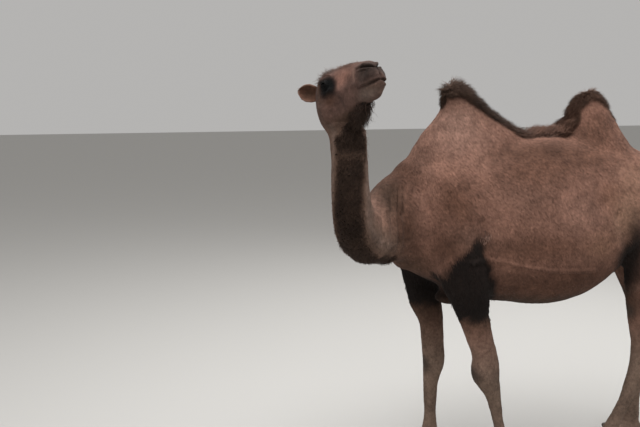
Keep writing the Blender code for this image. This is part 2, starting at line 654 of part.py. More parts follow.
def build():
    """Fuses the body, thins it, stands it on its soles and parts it into the named nodes."""
    body = fuse(body_shapes(), "body")
    frame = head_frame()
    turned = frame.to_3x3()
    keep_fine(body, frame @ Vector((0.25, 0, 0)), 0.28)
    for x, y, half in FEET.values():
        keep_fine(body, (x - 0.5 * half, y, 0.02), 0.065)
    thin_out(body, EVEN_TRIANGLES, BODY_TRIANGLES)
    stand_on_floor(body)

    nodes = {}
    across = turned @ Vector((0, 1, 0))
    throat, mouth = frame @ Vector((0.055, 0, -0.105)), frame @ Vector((0.345, 0, -0.048))
    head_out, jaw_out = turned @ Vector((0.62, 0, 0.78)), turned @ Vector((0.03, 0, -1))
    head = part_off(body, "head", throat, head_out, across, (0.50, 0.62, 0.60))
    nodes["lower_jaw"] = part_off(head, "lower_jaw", mouth, jaw_out, across, (0.40, 0.42, 0.30))
    nodes["head"] = head
    for name, at, out, side, size in BODY_CUTS:
        nodes[name] = part_off(body, name, at, out, side, size)
    for leg in FEET:
        x, y = LEG_MIDDLE[leg]
        for part, ahead, height, out in LEG_CUTS[leg[:4]]:
            name, at = f"{leg}_{part}", (x + ahead, y, height)
            nodes[name] = part_off(body, name, at, out, (1, 0, 0), (0.60, 0.47, 0.60))
        foot = nodes[f"{leg}_foot"]
        for side, place in ((NEAR, "left"), (FAR, "right")):
            nail = toenail(f"{leg}_toenail_{place}", *FEET[leg], side, parts)
            clear_of(foot, nail)
            nodes[nail.name] = nail
    for side, place in ((NEAR, "left"), (FAR, "right")):
        x, y, z = EYE_AT
        eye = mass(f"eye_{place}", frame @ Vector((x, -side * y, z)), (EYE_RADIUS,) * 3, parts, segments=14)
        clear_of(head, eye)
        nodes[eye.name] = eye
        nodes[f"ear_{place}"] = ear(f"ear_{place}", -side, parts)
        clear_of(nodes[f"ear_{place}"], head)
    nodes["trunk"] = body
    body.name = "trunk"
    workshop.objects.unlink(body)
    parts.objects.link(body)
    return nodes


def finish(nodes):
    """Gives each node its material and hangs all of them on one empty at the middle of the footprint."""
    root = bpy.data.objects.new("camel_root", None)
    root.location = FOOTPRINT_SHIFT
    parts.objects.link(root)
    for name, node in nodes.items():
        kind = "coat"
        if name.startswith("eye"):
            kind = "eye"
        elif "toenail" in name:
            kind = "nail"
        elif name.startswith("tail") or name.endswith("forearm"):
            kind = "dark_hair"
        elif name.endswith(("cannon", "foot")):
            kind = "pale_leg"
        node.data.materials.clear()
        node.data.materials.append(material(kind))
        node.data.shade_smooth()
        node.data.set_sharp_from_angle(angle=math.radians(50))
        node.parent = root


clear_scene()
workshop = collection("workshop")
parts = collection("bactrian_camel")
finish(build())
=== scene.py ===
"""Looks of the bactrian camel: its skin, its coat in tufts and locks, its eyes and its nails.

The body's own frame has forward along -X, its left along -Y and the floor at z = 0. The frame's shift is
added when a mesh is made. Shapes are lofts fused into one skin, which is finer where the face needs it. Each
tuft is rooted on that skin and lies along the coat.
"""

import math
from collections import namedtuple

import bmesh
import bpy
import numpy as np
from mathutils import Matrix, Vector


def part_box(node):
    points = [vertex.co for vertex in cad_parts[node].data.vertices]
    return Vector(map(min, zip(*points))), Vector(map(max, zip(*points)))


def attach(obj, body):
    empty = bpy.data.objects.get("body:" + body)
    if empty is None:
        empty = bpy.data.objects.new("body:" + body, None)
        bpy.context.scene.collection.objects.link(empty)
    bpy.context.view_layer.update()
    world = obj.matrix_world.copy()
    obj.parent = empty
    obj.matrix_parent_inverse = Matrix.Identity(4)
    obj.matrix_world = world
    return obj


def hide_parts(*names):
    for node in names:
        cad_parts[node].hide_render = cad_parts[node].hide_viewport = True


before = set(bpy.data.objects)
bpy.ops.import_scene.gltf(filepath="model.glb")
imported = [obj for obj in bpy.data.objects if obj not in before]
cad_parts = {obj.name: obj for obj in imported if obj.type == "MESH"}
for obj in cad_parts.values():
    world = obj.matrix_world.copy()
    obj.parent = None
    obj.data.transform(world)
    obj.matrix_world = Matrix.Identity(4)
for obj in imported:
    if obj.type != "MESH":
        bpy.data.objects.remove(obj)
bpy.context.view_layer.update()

# Driving dimensions, in metres, with angles given in degrees
FRONT_HUMP_TOP = 1.95
REAR_HUMP_TOP = 1.905
HEAD_LENGTH = 0.48
HEAD_TURN = math.radians(-79)
HEAD_PITCH = math.radians(21)
HEAD_ROLL = math.radians(4)
POLL = Vector((-1.264, -0.205, 1.826))
EYE_RADIUS = 0.021
EYE_AT = np.array((0.157, 0.067, 0.050))
EAR_AT = (0.035, 0.064, 0.058)
EAR_LENGTH = 0.098
EAR_WIDTH = 0.080
EAR_WALL = 0.005
EAR_ROOT = 0.022
EAR_OUTLINE = ([0, 0.12, 0.3, 0.55, 0.75, 0.9, 1], [0.55, 0.75, 0.93, 1.0, 0.84, 0.52, 0.10])
UP = Vector((0, 0, 1))
DOWN = np.array((0.0, 0.0, -1.0))

# The edge of the skin's cells before it is refined, and the side of one hair's patch in the OFBake map
VOXEL = 0.016
PATCH = 0.003

# How far the far hind leg's markings are set back, as that leg is
HIND_SET_BACK = 0.12

# The camera's place, swing and dip, and the area lights: name, place, size and power
CAMERA_AT = Vector((-2.3123, -3.9874, 1.95))
CAMERA_SWING = math.radians(-15)
CAMERA_DIP = math.radians(8.54)
LIGHTS_AIM = Vector((0, 0, 1.1))
LIGHTS = [
    ("key", (-2.0, -3.0, 5.5), 4.0, 130.0),
    ("top", (0.3, 0.0, 5.5), 5.0, 290.0),
    ("rear", (3.0, 3.5, 3.5), 3.0, 60.0),
]

# Trunk: x, top, bottom, half width, height of the widest place, power of the section
TRUNK = [
    (-0.945, 1.41, 1.14, 0.06, 1.26, 2.0),
    (-0.88, 1.53, 1.075, 0.13, 1.25, 2.0),
    (-0.79, 1.60, 1.02, 0.20, 1.22, 2.0),
    (-0.68, 1.65, 0.965, 0.25, 1.20, 2.0),
    (-0.55, 1.665, 0.905, 0.28, 1.18, 2.0),
    (-0.42, 1.675, 0.865, 0.305, 1.16, 2.0),
    (-0.28, 1.68, 0.846, 0.335, 1.13, 2.05),
    (-0.14, 1.69, 0.829, 0.350, 1.12, 2.1),
    (0.00, 1.69, 0.845, 0.350, 1.12, 2.1),
    (0.14, 1.68, 0.903, 0.330, 1.15, 2.05),
    (0.28, 1.66, 1.030, 0.295, 1.22, 2.0),
    (0.40, 1.62, 1.180, 0.265, 1.30, 2.0),
    (0.50, 1.56, 1.25, 0.220, 1.33, 2.0),
    (0.58, 1.48, 1.28, 0.150, 1.35, 2.0),
    (0.63, 1.40, 1.31, 0.060, 1.35, 2.0),
]

# Humps: height, front, rear, half width
FRONT_HUMP = [
    (1.30, -0.840, -0.160, 0.250),
    (1.45, -0.835, -0.165, 0.220),
    (1.56, -0.820, -0.165, 0.180),
    (1.64, -0.785, -0.170, 0.145),
    (1.71, -0.735, -0.245, 0.112),
    (1.76, -0.690, -0.325, 0.096),
    (1.81, -0.652, -0.400, 0.082),
    (1.87, -0.650, -0.470, 0.066),
    (1.92, -0.632, -0.515, 0.045),
    (FRONT_HUMP_TOP, -0.598, -0.562, 0.014),
]
REAR_HUMP = [
    (1.35, -0.060, 0.430, 0.260),
    (1.48, -0.050, 0.430, 0.220),
    (1.58, -0.040, 0.410, 0.175),
    (1.67, -0.020, 0.355, 0.135),
    (1.75, 0.020, 0.300, 0.105),
    (1.82, 0.048, 0.250, 0.085),
    (1.87, 0.078, 0.215, 0.060),
    (REAR_HUMP_TOP, 0.130, 0.178, 0.016),
]

# Neck: x, y, z, half size to the nape, to the throat and sideways, power, direction of the nape
NECK = [
    (-0.60, 0.00, 1.33, 0.26, 0.26, 0.20, 2.0, 0.0, 0.0, 1.0),
    (-0.81, -0.02, 1.30, 0.24, 0.22, 0.175, 2.0, 0.05, 0.05, 1.0),
    (-0.97, -0.10, 1.26, 0.19, 0.17, 0.145, 2.0, 0.2, 0.2, 1.0),
    (-1.10, -0.22, 1.268, 0.155, 0.145, 0.115, 2.0, 0.4, 0.5, 0.8),
    (-1.172, -0.305, 1.35, 0.135, 0.13, 0.098, 2.0, 0.5, 0.8, 0.4),
    (-1.195, -0.33, 1.47, 0.115, 0.12, 0.090, 2.0, 0.35, 0.95, 0.0),
    (-1.202, -0.33, 1.62, 0.105, 0.115, 0.086, 2.0, 0.2, 0.98, 0.0),
    (-1.212, -0.315, 1.74, 0.105, 0.11, 0.085, 2.0, -0.1, 0.97, 0.0),
    (-1.230, -0.275, 1.83, 0.095, 0.09, 0.080, 2.0, -0.25, 0.9, 0.35),
    (-1.238, -0.255, 1.88, 0.045, 0.05, 0.050, 2.0, -0.3, 0.85, 0.45),
]

# Legs: x, y, z, half size forward, backward and sideways, power
FORE_NEAR = [
    (-0.60, -0.16, 1.36, 0.10, 0.10, 0.07, 2.0),
    (-0.605, -0.195, 1.22, 0.15, 0.14, 0.085, 2.0),
    (-0.595, -0.205, 1.08, 0.145, 0.135, 0.09, 2.0),
    (-0.562, -0.20, 0.94, 0.112, 0.112, 0.085, 2.0),
    (-0.531, -0.19, 0.83, 0.084, 0.084, 0.074, 2.0),
    (-0.501, -0.185, 0.735, 0.071, 0.071, 0.064, 2.0),
    (-0.466, -0.18, 0.63, 0.069, 0.069, 0.058, 2.1),
    (-0.453, -0.178, 0.53, 0.072, 0.071, 0.062, 2.3),
    (-0.417, -0.176, 0.435, 0.047, 0.047, 0.047, 2.2),
    (-0.387, -0.175, 0.31, 0.034, 0.034, 0.036, 2.1),
    (-0.363, -0.175, 0.20, 0.036, 0.038, 0.038, 2.1),
    (-0.350, -0.175, 0.13, 0.050, 0.050, 0.052, 2.1),
    (-0.355, -0.175, 0.07, 0.058, 0.056, 0.057, 2.1),
    (-0.358, -0.175, 0.03, 0.050, 0.050, 0.050, 2.1),
]
FORE_FAR = [
    (-0.64, 0.16, 1.36, 0.10, 0.10, 0.07, 2.0),
    (-0.645, 0.195, 1.22, 0.15, 0.15, 0.085, 2.0),
    (-0.65, 0.205, 1.08, 0.14, 0.14, 0.09, 2.0),
    (-0.643, 0.195, 0.93, 0.110, 0.115, 0.085, 2.0),
    (-0.636, 0.18, 0.84, 0.094, 0.094, 0.075, 2.0),
    (-0.608, 0.17, 0.735, 0.071, 0.071, 0.065, 2.0),
    (-0.596, 0.165, 0.60, 0.065, 0.065, 0.057, 2.1),
    (-0.592, 0.16, 0.50, 0.061, 0.061, 0.060, 2.3),
    (-0.603, 0.16, 0.42, 0.048, 0.048, 0.047, 2.2),
    (-0.606, 0.16, 0.31, 0.042, 0.042, 0.039, 2.1),
    (-0.605, 0.16, 0.20, 0.038, 0.039, 0.040, 2.1),
    (-0.606, 0.16, 0.13, 0.050, 0.050, 0.052, 2.1),
    (-0.614, 0.16, 0.07, 0.058, 0.056, 0.057, 2.1),
    (-0.617, 0.16, 0.03, 0.050, 0.050, 0.050, 2.1),
]
HIND_NEAR = [
    (0.42, -0.12, 1.46, 0.14, 0.12, 0.08, 2.0),
    (0.42, -0.165, 1.32, 0.19, 0.17, 0.105, 2.0),
    (0.42, -0.185, 1.18, 0.175, 0.165, 0.11, 2.0),
    (0.410, -0.195, 1.05, 0.143, 0.145, 0.105, 2.0),
    (0.395, -0.20, 0.95, 0.117, 0.118, 0.094, 2.0),
    (0.388, -0.195, 0.83, 0.094, 0.093, 0.076, 2.0),
    (0.392, -0.19, 0.715, 0.073, 0.070, 0.062, 2.0),
    (0.395, -0.185, 0.61, 0.057, 0.058, 0.048, 2.1),
    (0.396, -0.18, 0.51, 0.060, 0.070, 0.050, 2.3),
    (0.362, -0.178, 0.41, 0.047, 0.052, 0.045, 2.2),
    (0.315, -0.176, 0.30, 0.039, 0.040, 0.038, 2.1),
    (0.262, -0.175, 0.205, 0.040, 0.042, 0.040, 2.1),
    (0.228, -0.175, 0.135, 0.049, 0.049, 0.051, 2.1),
    (0.212, -0.175, 0.07, 0.055, 0.054, 0.055, 2.1),
    (0.209, -0.175, 0.03, 0.047, 0.047, 0.047, 2.1),
]
HIND_FAR = [
    (0.45, 0.12, 1.46, 0.14, 0.12, 0.08, 2.0),
    (0.46, 0.165, 1.32, 0.18, 0.15, 0.105, 2.0),
    (0.49, 0.185, 1.18, 0.16, 0.145, 0.11, 2.0),
    (0.525, 0.19, 1.05, 0.118, 0.125, 0.105, 2.0),
    (0.562, 0.195, 0.93, 0.082, 0.102, 0.090, 2.0),
    (0.612, 0.19, 0.83, 0.083, 0.083, 0.075, 2.0),
    (0.630, 0.185, 0.72, 0.070, 0.066, 0.061, 2.0),
    (0.643, 0.18, 0.61, 0.056, 0.057, 0.048, 2.1),
    (0.660, 0.175, 0.51, 0.060, 0.066, 0.050, 2.3),
    (0.650, 0.172, 0.41, 0.046, 0.050, 0.045, 2.2),
    (0.634, 0.17, 0.30, 0.038, 0.040, 0.038, 2.1),
    (0.618, 0.17, 0.20, 0.039, 0.042, 0.040, 2.1),
    (0.608, 0.17, 0.13, 0.049, 0.049, 0.051, 2.1),
    (0.600, 0.17, 0.07, 0.055, 0.054, 0.055, 2.1),
    (0.597, 0.17, 0.03, 0.047, 0.047, 0.047, 2.1),
]

# Tail: a thin dock that ends in a flat tuft
TAIL = [
    (0.555, 0.0, 1.44, 0.050, 0.050, 0.045, 2.0),
    (0.615, 0.0, 1.405, 0.038, 0.038, 0.040, 2.0),
    (0.665, 0.0, 1.33, 0.027, 0.027, 0.030, 2.0),
    (0.690, 0.0, 1.22, 0.022, 0.022, 0.024, 2.0),
    (0.693, 0.0, 1.10, 0.024, 0.024, 0.028, 2.0),
    (0.692, 0.0, 1.00, 0.030, 0.030, 0.036, 2.0),
    (0.687, 0.0, 0.92, 0.024, 0.024, 0.028, 2.0),
    (0.683, 0.0, 0.86, 0.008, 0.008, 0.010, 2.0),
]

# Feet: x and y of the middle of each sole, half length of its pad
FEET = {
    "foreleg_left": (-0.382, -0.176, 0.110),
    "foreleg_right": (-0.642, 0.162, 0.110),
    "hindleg_left": (0.187, -0.176, 0.098),
    "hindleg_right": (0.574, 0.171, 0.098),
}

# Head, in its own frame: distance from the poll, top, bottom, half width, height of the widest place, power
HEAD = [
    (-0.040, 0.010, -0.060, 0.025, -0.020, 2.0),
    (0.000, 0.072, -0.120, 0.058, -0.015, 2.1),
    (0.038, 0.110, -0.160, 0.078, -0.005, 2.2),
    (0.076, 0.126, -0.170, 0.086, 0.000, 2.2),
    (0.123, 0.127, -0.162, 0.088, 0.010, 2.2),
    (0.171, 0.115, -0.146, 0.078, 0.018, 2.2),
    (0.228, 0.109, -0.126, 0.063, 0.010, 2.2),
    (0.285, 0.098, -0.110, 0.051, 0.000, 2.2),
    (0.342, 0.081, -0.102, 0.045, -0.010, 2.2),
    (0.394, 0.064, -0.100, 0.044, -0.015, 2.3),
    (0.430, 0.050, -0.094, 0.041, -0.020, 2.2),
    (0.460, 0.020, -0.080, 0.034, -0.028, 2.1),
    (HEAD_LENGTH, -0.018, -0.055, 0.015, -0.036, 2.0),
]

# Forms of the head, alike on both sides: place, reach along, across and up, and how far each stands out
HEAD_FORMS = [
    ((0.143, 0.076, 0.080), (0.040, 0.028, 0.020), 0.013),
    ((0.157, 0.082, 0.048), (0.019, 0.030, 0.015), -0.006),
    ((0.160, 0.085, 0.018), (0.052, 0.030, 0.014), 0.006),
    ((0.081, 0.060, 0.100), (0.027, 0.028, 0.022), -0.007),
    ((0.105, 0.085, -0.070), (0.048, 0.035, 0.045), 0.011),
    ((0.205, 0.060, -0.055), (0.025, 0.035, 0.042), -0.008),
    ((0.266, 0.050, 0.030), (0.043, 0.025, 0.022), -0.004),
    ((0.426, 0.036, 0.032), (0.023, 0.016, 0.018), 0.007),
    ((0.430, 0.036, -0.022), (0.030, 0.030, 0.018), 0.007),
    ((0.410, 0.000, -0.092), (0.027, 0.030, 0.020), 0.007),
    ((0.028, 0.000, 0.107), (0.038, 0.050, 0.030), 0.022),
]

# Colours as the light leaves them, from the darkest hair to the palest skin
BLACK = (0.010, 0.007, 0.006)
THROAT = (0.040, 0.024, 0.017)
DARK_BROWN = (0.052, 0.030, 0.020)
MANE = (0.088, 0.044, 0.029)
BROWN = (0.105, 0.060, 0.042)
FLANK = (0.186, 0.096, 0.069)
OLIVE = (0.150, 0.082, 0.050)
WARM = (0.165, 0.080, 0.052)
UMBER = (0.078, 0.038, 0.025)
DUN = (0.118, 0.058, 0.039)
TAN = (0.290, 0.170, 0.115)
PALE = (0.300, 0.180, 0.140)
PINK = (0.235, 0.130, 0.098)
NECK_SIDE = (0.165, 0.105, 0.078)
ASH = (0.190, 0.130, 0.105)
LEG = (0.155, 0.106, 0.080)
SHADE = (0.110, 0.062, 0.046)
CHEEK = (0.105, 0.060, 0.048)
BRIDGE = (0.305, 0.158, 0.120)
MUZZLE = (0.045, 0.029, 0.023)
CHIN = (0.150, 0.108, 0.088)
EYE_RING = (0.004, 0.0035, 0.0035)
EYE_WHITE = (0.0045, 0.0040, 0.0038)
IRIS = (0.0035, 0.0030, 0.0028)
CALLUS = (0.045, 0.034, 0.028)

# Markings of the body, alike on both sides: place, reach, colour, strength and how crisp the edge is. Most
# are the coat's own colours; a few are painted shade, each said where it stands.
BODY_MARKS = [
    ((-0.61, 0.13, 1.75), (0.13, 0.16, 0.13), PALE, 0.72, 1.0),
    ((-0.50, 0.20, 1.62), (0.15, 0.16, 0.10), PINK, 0.45, 1.0),
    ((-0.79, 0.10, 1.61), (0.07, 0.16, 0.10), SHADE, 0.65, 1.1),
    # Painted shade: the crease where the neck meets the shoulder, and the shoulder's front beside it,
    # darkened
    ((-0.88, 0.10, 1.53), (0.09, 0.22, 0.09), UMBER, 0.98, 1.4),
    ((-0.95, 0.16, 1.42), (0.07, 0.20, 0.10), DARK_BROWN, 0.98, 1.4),
    ((-0.89, 0.22, 1.28), (0.07, 0.20, 0.14), UMBER, 0.90, 1.2),
    ((-0.77, 0.22, 1.43), (0.05, 0.20, 0.09), PINK, 0.20, 1.0),
    ((-0.65, 0.24, 1.39), (0.09, 0.20, 0.13), DUN, 0.95, 1.3),
    ((-0.66, 0.24, 1.40), (0.06, 0.20, 0.08), UMBER, 0.35, 1.2),
    ((0.12, 0.13, 1.67), (0.12, 0.18, 0.12), DUN, 0.75, 1.2),
    ((0.27, 0.15, 1.60), (0.07, 0.15, 0.06), DUN, 0.45, 1.2),
    ((-0.20, 0.19, 1.60), (0.26, 0.24, 0.070), UMBER, 0.99, 1.8),
    ((0.02, 0.20, 1.58), (0.16, 0.20, 0.060), DUN, 0.85, 1.2),
    ((-0.26, 0.25, 1.52), (0.22, 0.20, 0.075), DUN, 0.85, 1.2),
    ((0.28, 0.25, 1.48), (0.10, 0.20, 0.07), TAN, 0.40, 1.0),
    ((-0.04, 0.33, 1.33), (0.16, 0.30, 0.12), PINK, 0.50, 1.0),
    ((0.11, 0.30, 1.40), (0.07, 0.20, 0.06), WARM, 0.70, 1.2),
    ((0.21, 0.30, 1.30), (0.10, 0.25, 0.11), TAN, 0.75, 1.2),
    ((0.04, 0.33, 1.17), (0.10, 0.25, 0.07), OLIVE, 0.50, 1.2),
    ((-0.35, 0.32, 1.40), (0.12, 0.20, 0.07), SHADE, 0.35, 1.2),
    ((-0.28, 0.32, 1.17), (0.24, 0.25, 0.075), DUN, 0.90, 1.2),
    ((-0.69, 0.26, 1.19), (0.09, 0.20, 0.08), UMBER, 0.90, 1.2),
    ((-0.58, 0.28, 1.22), (0.09, 0.20, 0.07), SHADE, 0.60, 1.2),
    # Painted shade under the neck and the chest, down between the forelegs, where it meets the black hair of
    # the forearms
    ((-0.86, 0.12, 1.07), (0.12, 0.20, 0.08), DARK_BROWN, 0.80, 1.3),
    ((-0.66, 0.00, 0.93), (0.20, 0.17, 0.13), BLACK, 0.97, 2.0),
    # Painted shade along the lower flank and under the belly
    ((-0.10, 0.25, 0.98), (0.50, 0.40, 0.105), UMBER, 0.92, 1.6),
    ((-0.15, 0.14, 0.85), (0.58, 0.34, 0.090), DARK_BROWN, 0.99, 2.5),
    # Black at the stifle: dark hair over the fold between flank and thigh, with painted shade where the fold
    # tucks in below
    ((0.265, 0.25, 1.11), (0.072, 0.25, 0.19), BLACK, 0.98, 2.0),
    ((0.200, 0.30, 1.10), (0.060, 0.25, 0.07), BLACK, 0.90, 1.6),
    ((0.24, 0.14, 0.98), (0.12, 0.14, 0.12), BLACK, 0.92, 1.5),
    ((0.52, 0.25, 1.10), (0.13, 0.25, 0.20), BROWN, 0.55, 1.2),
    ((0.40, 0.22, 0.90), (0.10, 0.20, 0.08), BROWN, 0.20, 1.2),
    ((-0.51, 0.18, 0.64), (0.07, 0.10, 0.10), PALE, 0.25, 1.0),
]

# Long hair over the humps and the back: x and z of its middle line, its length and half the width it covers
RIDGE = [
    (-0.640, 1.86, 0.028, 0.030),
    (-0.600, 1.91, 0.054, 0.052),
    (-0.550, 1.90, 0.054, 0.056),
    (-0.480, 1.84, 0.048, 0.056),
    (-0.390, 1.77, 0.048, 0.052),
    (-0.290, 1.70, 0.066, 0.052),
    (-0.200, 1.68, 0.082, 0.055),
    (-0.100, 1.68, 0.090, 0.060),
    (-0.020, 1.70, 0.078, 0.058),
    (0.040, 1.76, 0.038, 0.046),
    (0.090, 1.84, 0.032, 0.052),
    (0.150, 1.88, 0.036, 0.060),
    (0.215, 1.85, 0.026, 0.045),
    (0.270, 1.78, 0.018, 0.030),
]

# The vein of the flank, as x and z
VEIN = [(-0.600, 1.116), (-0.500, 1.124), (-0.401, 1.104), (-0.300, 1.080), (-0.180, 1.063), (0.020, 1.056)]

# Folds, veins and muscle edges of the body, on both sides: the path as x and z, its half width and height
BODY_STROKES = [
    (VEIN, 0.0085, 0.0075),
    ([(x, z - 0.018) for x, z in VEIN], 0.0120, -0.0045),
    ([(-0.540, 1.300), (-0.530, 1.240), (-0.515, 1.140), (-0.480, 1.020)], 0.020, -0.015),
    ([(-0.790, 1.440), (-0.765, 1.250), (-0.740, 1.100)], 0.030, -0.009),
    ([(-0.700, 1.500), (-0.620, 1.380), (-0.560, 1.300)], 0.040, 0.009),
    ([(-0.640, 1.330), (-0.690, 1.200), (-0.690, 1.080)], 0.035, 0.007),
    ([(0.160, 1.300), (0.200, 1.180), (0.250, 1.080)], 0.030, -0.012),
    ([(0.300, 1.420), (0.280, 1.260), (0.310, 1.120)], 0.035, 0.009),
    ([(0.500, 1.420), (0.500, 1.220), (0.470, 1.050)], 0.030, -0.007),
    ([(-0.330, 1.420), (-0.310, 1.200)], 0.022, 0.0028),
    ([(-0.230, 1.430), (-0.210, 1.190)], 0.022, 0.0028),
    ([(-0.130, 1.430), (-0.110, 1.190)], 0.022, 0.0028),
    ([(-0.030, 1.420), (-0.010, 1.200)], 0.022, 0.0025),
    ([(-0.455, 0.560), (-0.470, 0.500), (-0.445, 0.455)], 0.012, 0.005),
    ([(-0.520, 0.590), (-0.510, 0.540), (-0.520, 0.490)], 0.014, 0.005),
    ([(-0.410, 0.560), (-0.400, 0.500)], 0.010, -0.004),
    ([(0.330, 0.640), (0.345, 0.540), (0.330, 0.470)], 0.012, -0.005),
    ([(0.420, 0.700), (0.455, 0.600), (0.465, 0.540)], 0.010, 0.005),
]

# Upright folds on the left, where the neck meets the shoulder: the path as x and z, its half width and height
NECK_FOLDS = [
    ([(-0.862, 1.500), (-0.895, 1.340), (-0.885, 1.150)], 0.0200, -0.0100),
    ([(-0.884, 1.490), (-0.921, 1.342), (-0.914, 1.163)], 0.0065, 0.0055),
    ([(-0.897, 1.483), (-0.935, 1.343), (-0.934, 1.187)], 0.0060, -0.0085),
    ([(-0.910, 1.477), (-0.949, 1.345), (-0.954, 1.210)], 0.0065, 0.0055),
    ([(-0.930, 1.465), (-0.972, 1.348), (-0.980, 1.222)], 0.0110, -0.0065),
    ([(-0.955, 1.455), (-1.003, 1.352), (-1.014, 1.238)], 0.0070, 0.0028),
    ([(-0.975, 1.447), (-1.026, 1.354), (-1.039, 1.249)], 0.0090, -0.0040),
    ([(-0.997, 1.445), (-1.070, 1.366), (-1.072, 1.256)], 0.0080, 0.0025),
]

# Lines of the face, on both sides and in the head's frame: the path, its half width and its height
NOSTRIL = [(0.374, 0.041, 0.038), (0.392, 0.041, 0.036), (0.415, 0.039, 0.031), (0.436, 0.033, 0.025),
           (0.452, 0.021, 0.019), (0.462, 0.008, 0.014)]
MOUTH = [(0.352, 0.046, -0.040), (0.385, 0.045, -0.044), (0.420, 0.042, -0.049), (0.450, 0.035, -0.051),
         (0.472, 0.018, -0.049), (0.482, 0.0, -0.047)]
SPLIT_LIP = [(0.464, 0.0, 0.012), (0.478, 0.0, -0.010), (0.482, 0.0, -0.040)]
UNDER_NOSTRIL = [(0.380, 0.043, 0.022), (0.410, 0.042, 0.016), (0.436, 0.036, 0.009)]
FEATURE_STROKES = [
    (NOSTRIL, 0.0040, -0.0120),
    ([(0.370, 0.036, 0.050), (0.395, 0.036, 0.047), (0.420, 0.034, 0.042), (0.442, 0.026, 0.036),
      (0.458, 0.012, 0.029)], 0.0070, 0.0055),
    ([(0.372, 0.042, 0.030), (0.400, 0.043, 0.025), (0.430, 0.038, 0.017), (0.450, 0.026, 0.010)],
     0.0040, 0.0026),
    (UNDER_NOSTRIL, 0.0030, -0.0030),
    ([(0.350, 0.046, 0.042), (0.352, 0.047, 0.028), (0.345, 0.048, 0.010)], 0.0060, 0.0030),
    (MOUTH, 0.0046, -0.0110),
    ([(0.385, 0.045, -0.034), (0.425, 0.042, -0.039), (0.455, 0.033, -0.041), (0.474, 0.018, -0.040)],
     0.0060, 0.0030),
    ([(0.375, 0.045, -0.055), (0.415, 0.041, -0.060), (0.445, 0.034, -0.062), (0.462, 0.018, -0.060)],
     0.0055, 0.0026),
    (SPLIT_LIP, 0.0034, -0.0065),
]
FACE_STROKES = [
    *FEATURE_STROKES,
    ([(0.345, 0.046, -0.028), (0.335, 0.048, -0.046), (0.342, 0.046, -0.066)], 0.0050, -0.0024),
    ([(0.325, 0.047, -0.026), (0.314, 0.049, -0.046), (0.322, 0.047, -0.068)], 0.0050, -0.0014),
    ([(0.185, 0.075, 0.020), (0.230, 0.066, 0.000), (0.300, 0.052, -0.010), (0.350, 0.046, -0.012)],
     0.0120, 0.0035),
    ([(0.150, 0.084, 0.012), (0.180, 0.080, 0.006), (0.215, 0.070, 0.014)], 0.0050, -0.0024),
    ([(0.150, 0.086, 0.000), (0.185, 0.080, -0.008), (0.225, 0.068, 0.000)], 0.0055, -0.0016),
    ([(0.070, 0.085, -0.020), (0.120, 0.090, -0.035), (0.165, 0.082, -0.055), (0.200, 0.068, -0.085)],
     0.0120, 0.0040),
    ([(0.215, 0.064, -0.030), (0.222, 0.058, -0.075), (0.232, 0.048, -0.105)], 0.0120, -0.0050),
    ([(0.250, 0.050, -0.085), (0.310, 0.038, -0.090), (0.350, 0.034, -0.084)], 0.0090, 0.0030),
]

# Colours of the face, on both sides and in the head's frame: place, reach, colour, strength and edge
FACE_MARKS = [
    ((0.265, 0.056, 0.050), (0.085, 0.045, 0.044), BRIDGE, 1.00, 1.3),
    ((0.110, 0.085, 0.020), (0.030, 0.040, 0.060), BROWN, 0.70, 1.2),
    ((0.270, 0.000, 0.112), (0.130, 0.036, 0.034), UMBER, 0.92, 1.6),
    ((0.090, 0.000, 0.125), (0.100, 0.070, 0.030), DARK_BROWN, 0.75, 1.3),
    ((0.435, 0.030, 0.010), (0.065, 0.060, 0.055), MUZZLE, 0.95, 1.6),
    ((0.455, 0.030, 0.005), (0.045, 0.050, 0.045), BLACK, 0.45, 1.5),
    ((0.345, 0.050, 0.028), (0.010, 0.030, 0.032), PALE, 0.60, 1.0),
    ((0.400, 0.030, -0.075), (0.070, 0.050, 0.028), CHIN, 0.90, 1.5),
    ((0.445, 0.030, -0.060), (0.040, 0.050, 0.014), BROWN, 0.45, 1.0),
    ((0.210, 0.060, -0.055), (0.080, 0.045, 0.045), CHEEK, 0.70, 1.2),
    ((0.120, 0.085, -0.060), (0.080, 0.060, 0.060), CHEEK, 0.60, 1.2),
    ((0.070, 0.080, -0.100), (0.045, 0.060, 0.070), BROWN, 0.55, 1.2),
    # Under the jaw: dark hair, and painted shade beneath the head
    ((0.230, 0.030, -0.120), (0.150, 0.060, 0.036), DARK_BROWN, 0.92, 1.5),
    ((0.120, 0.050, -0.165), (0.110, 0.060, 0.045), DARK_BROWN, 0.85, 1.5),
    ((0.178, 0.078, 0.038), (0.057, 0.060, 0.054), EYE_RING, 1.00, 3.5),
    ((0.168, 0.078, -0.020), (0.034, 0.050, 0.026), UMBER, 0.75, 1.3),
]

# Calluses on the knees, stifles and chest, as marks
CALLUS_REACH = (0.030, 0.055, 0.045)
CALLUSES = [
    ((-0.515, 0.178, 0.545), CALLUS_REACH, CALLUS, 0.8, 2.0),
    ((-0.650, 0.160, 0.510), CALLUS_REACH, CALLUS, 0.8, 2.0),
    ((0.300, 0.190, 0.800), CALLUS_REACH, CALLUS, 0.8, 2.0),
    ((0.540, 0.190, 0.800), CALLUS_REACH, CALLUS, 0.8, 2.0),
    ((-0.565, 0.000, 0.845), (0.100, 0.075, 0.030), CALLUS, 0.8, 2.0),
]

# By region, from the trunk to the tail: how far the skin lies inside the coat, and its base colour
COAT_DEPTHS = np.array([0.008, 0.008, 0.0035, 0.006, 0.006, 0.006, 0.006, 0.003])
BASE_COLOURS = np.array([FLANK, NECK_SIDE, CHEEK, LEG, LEG, LEG, LEG, DARK_BROWN])

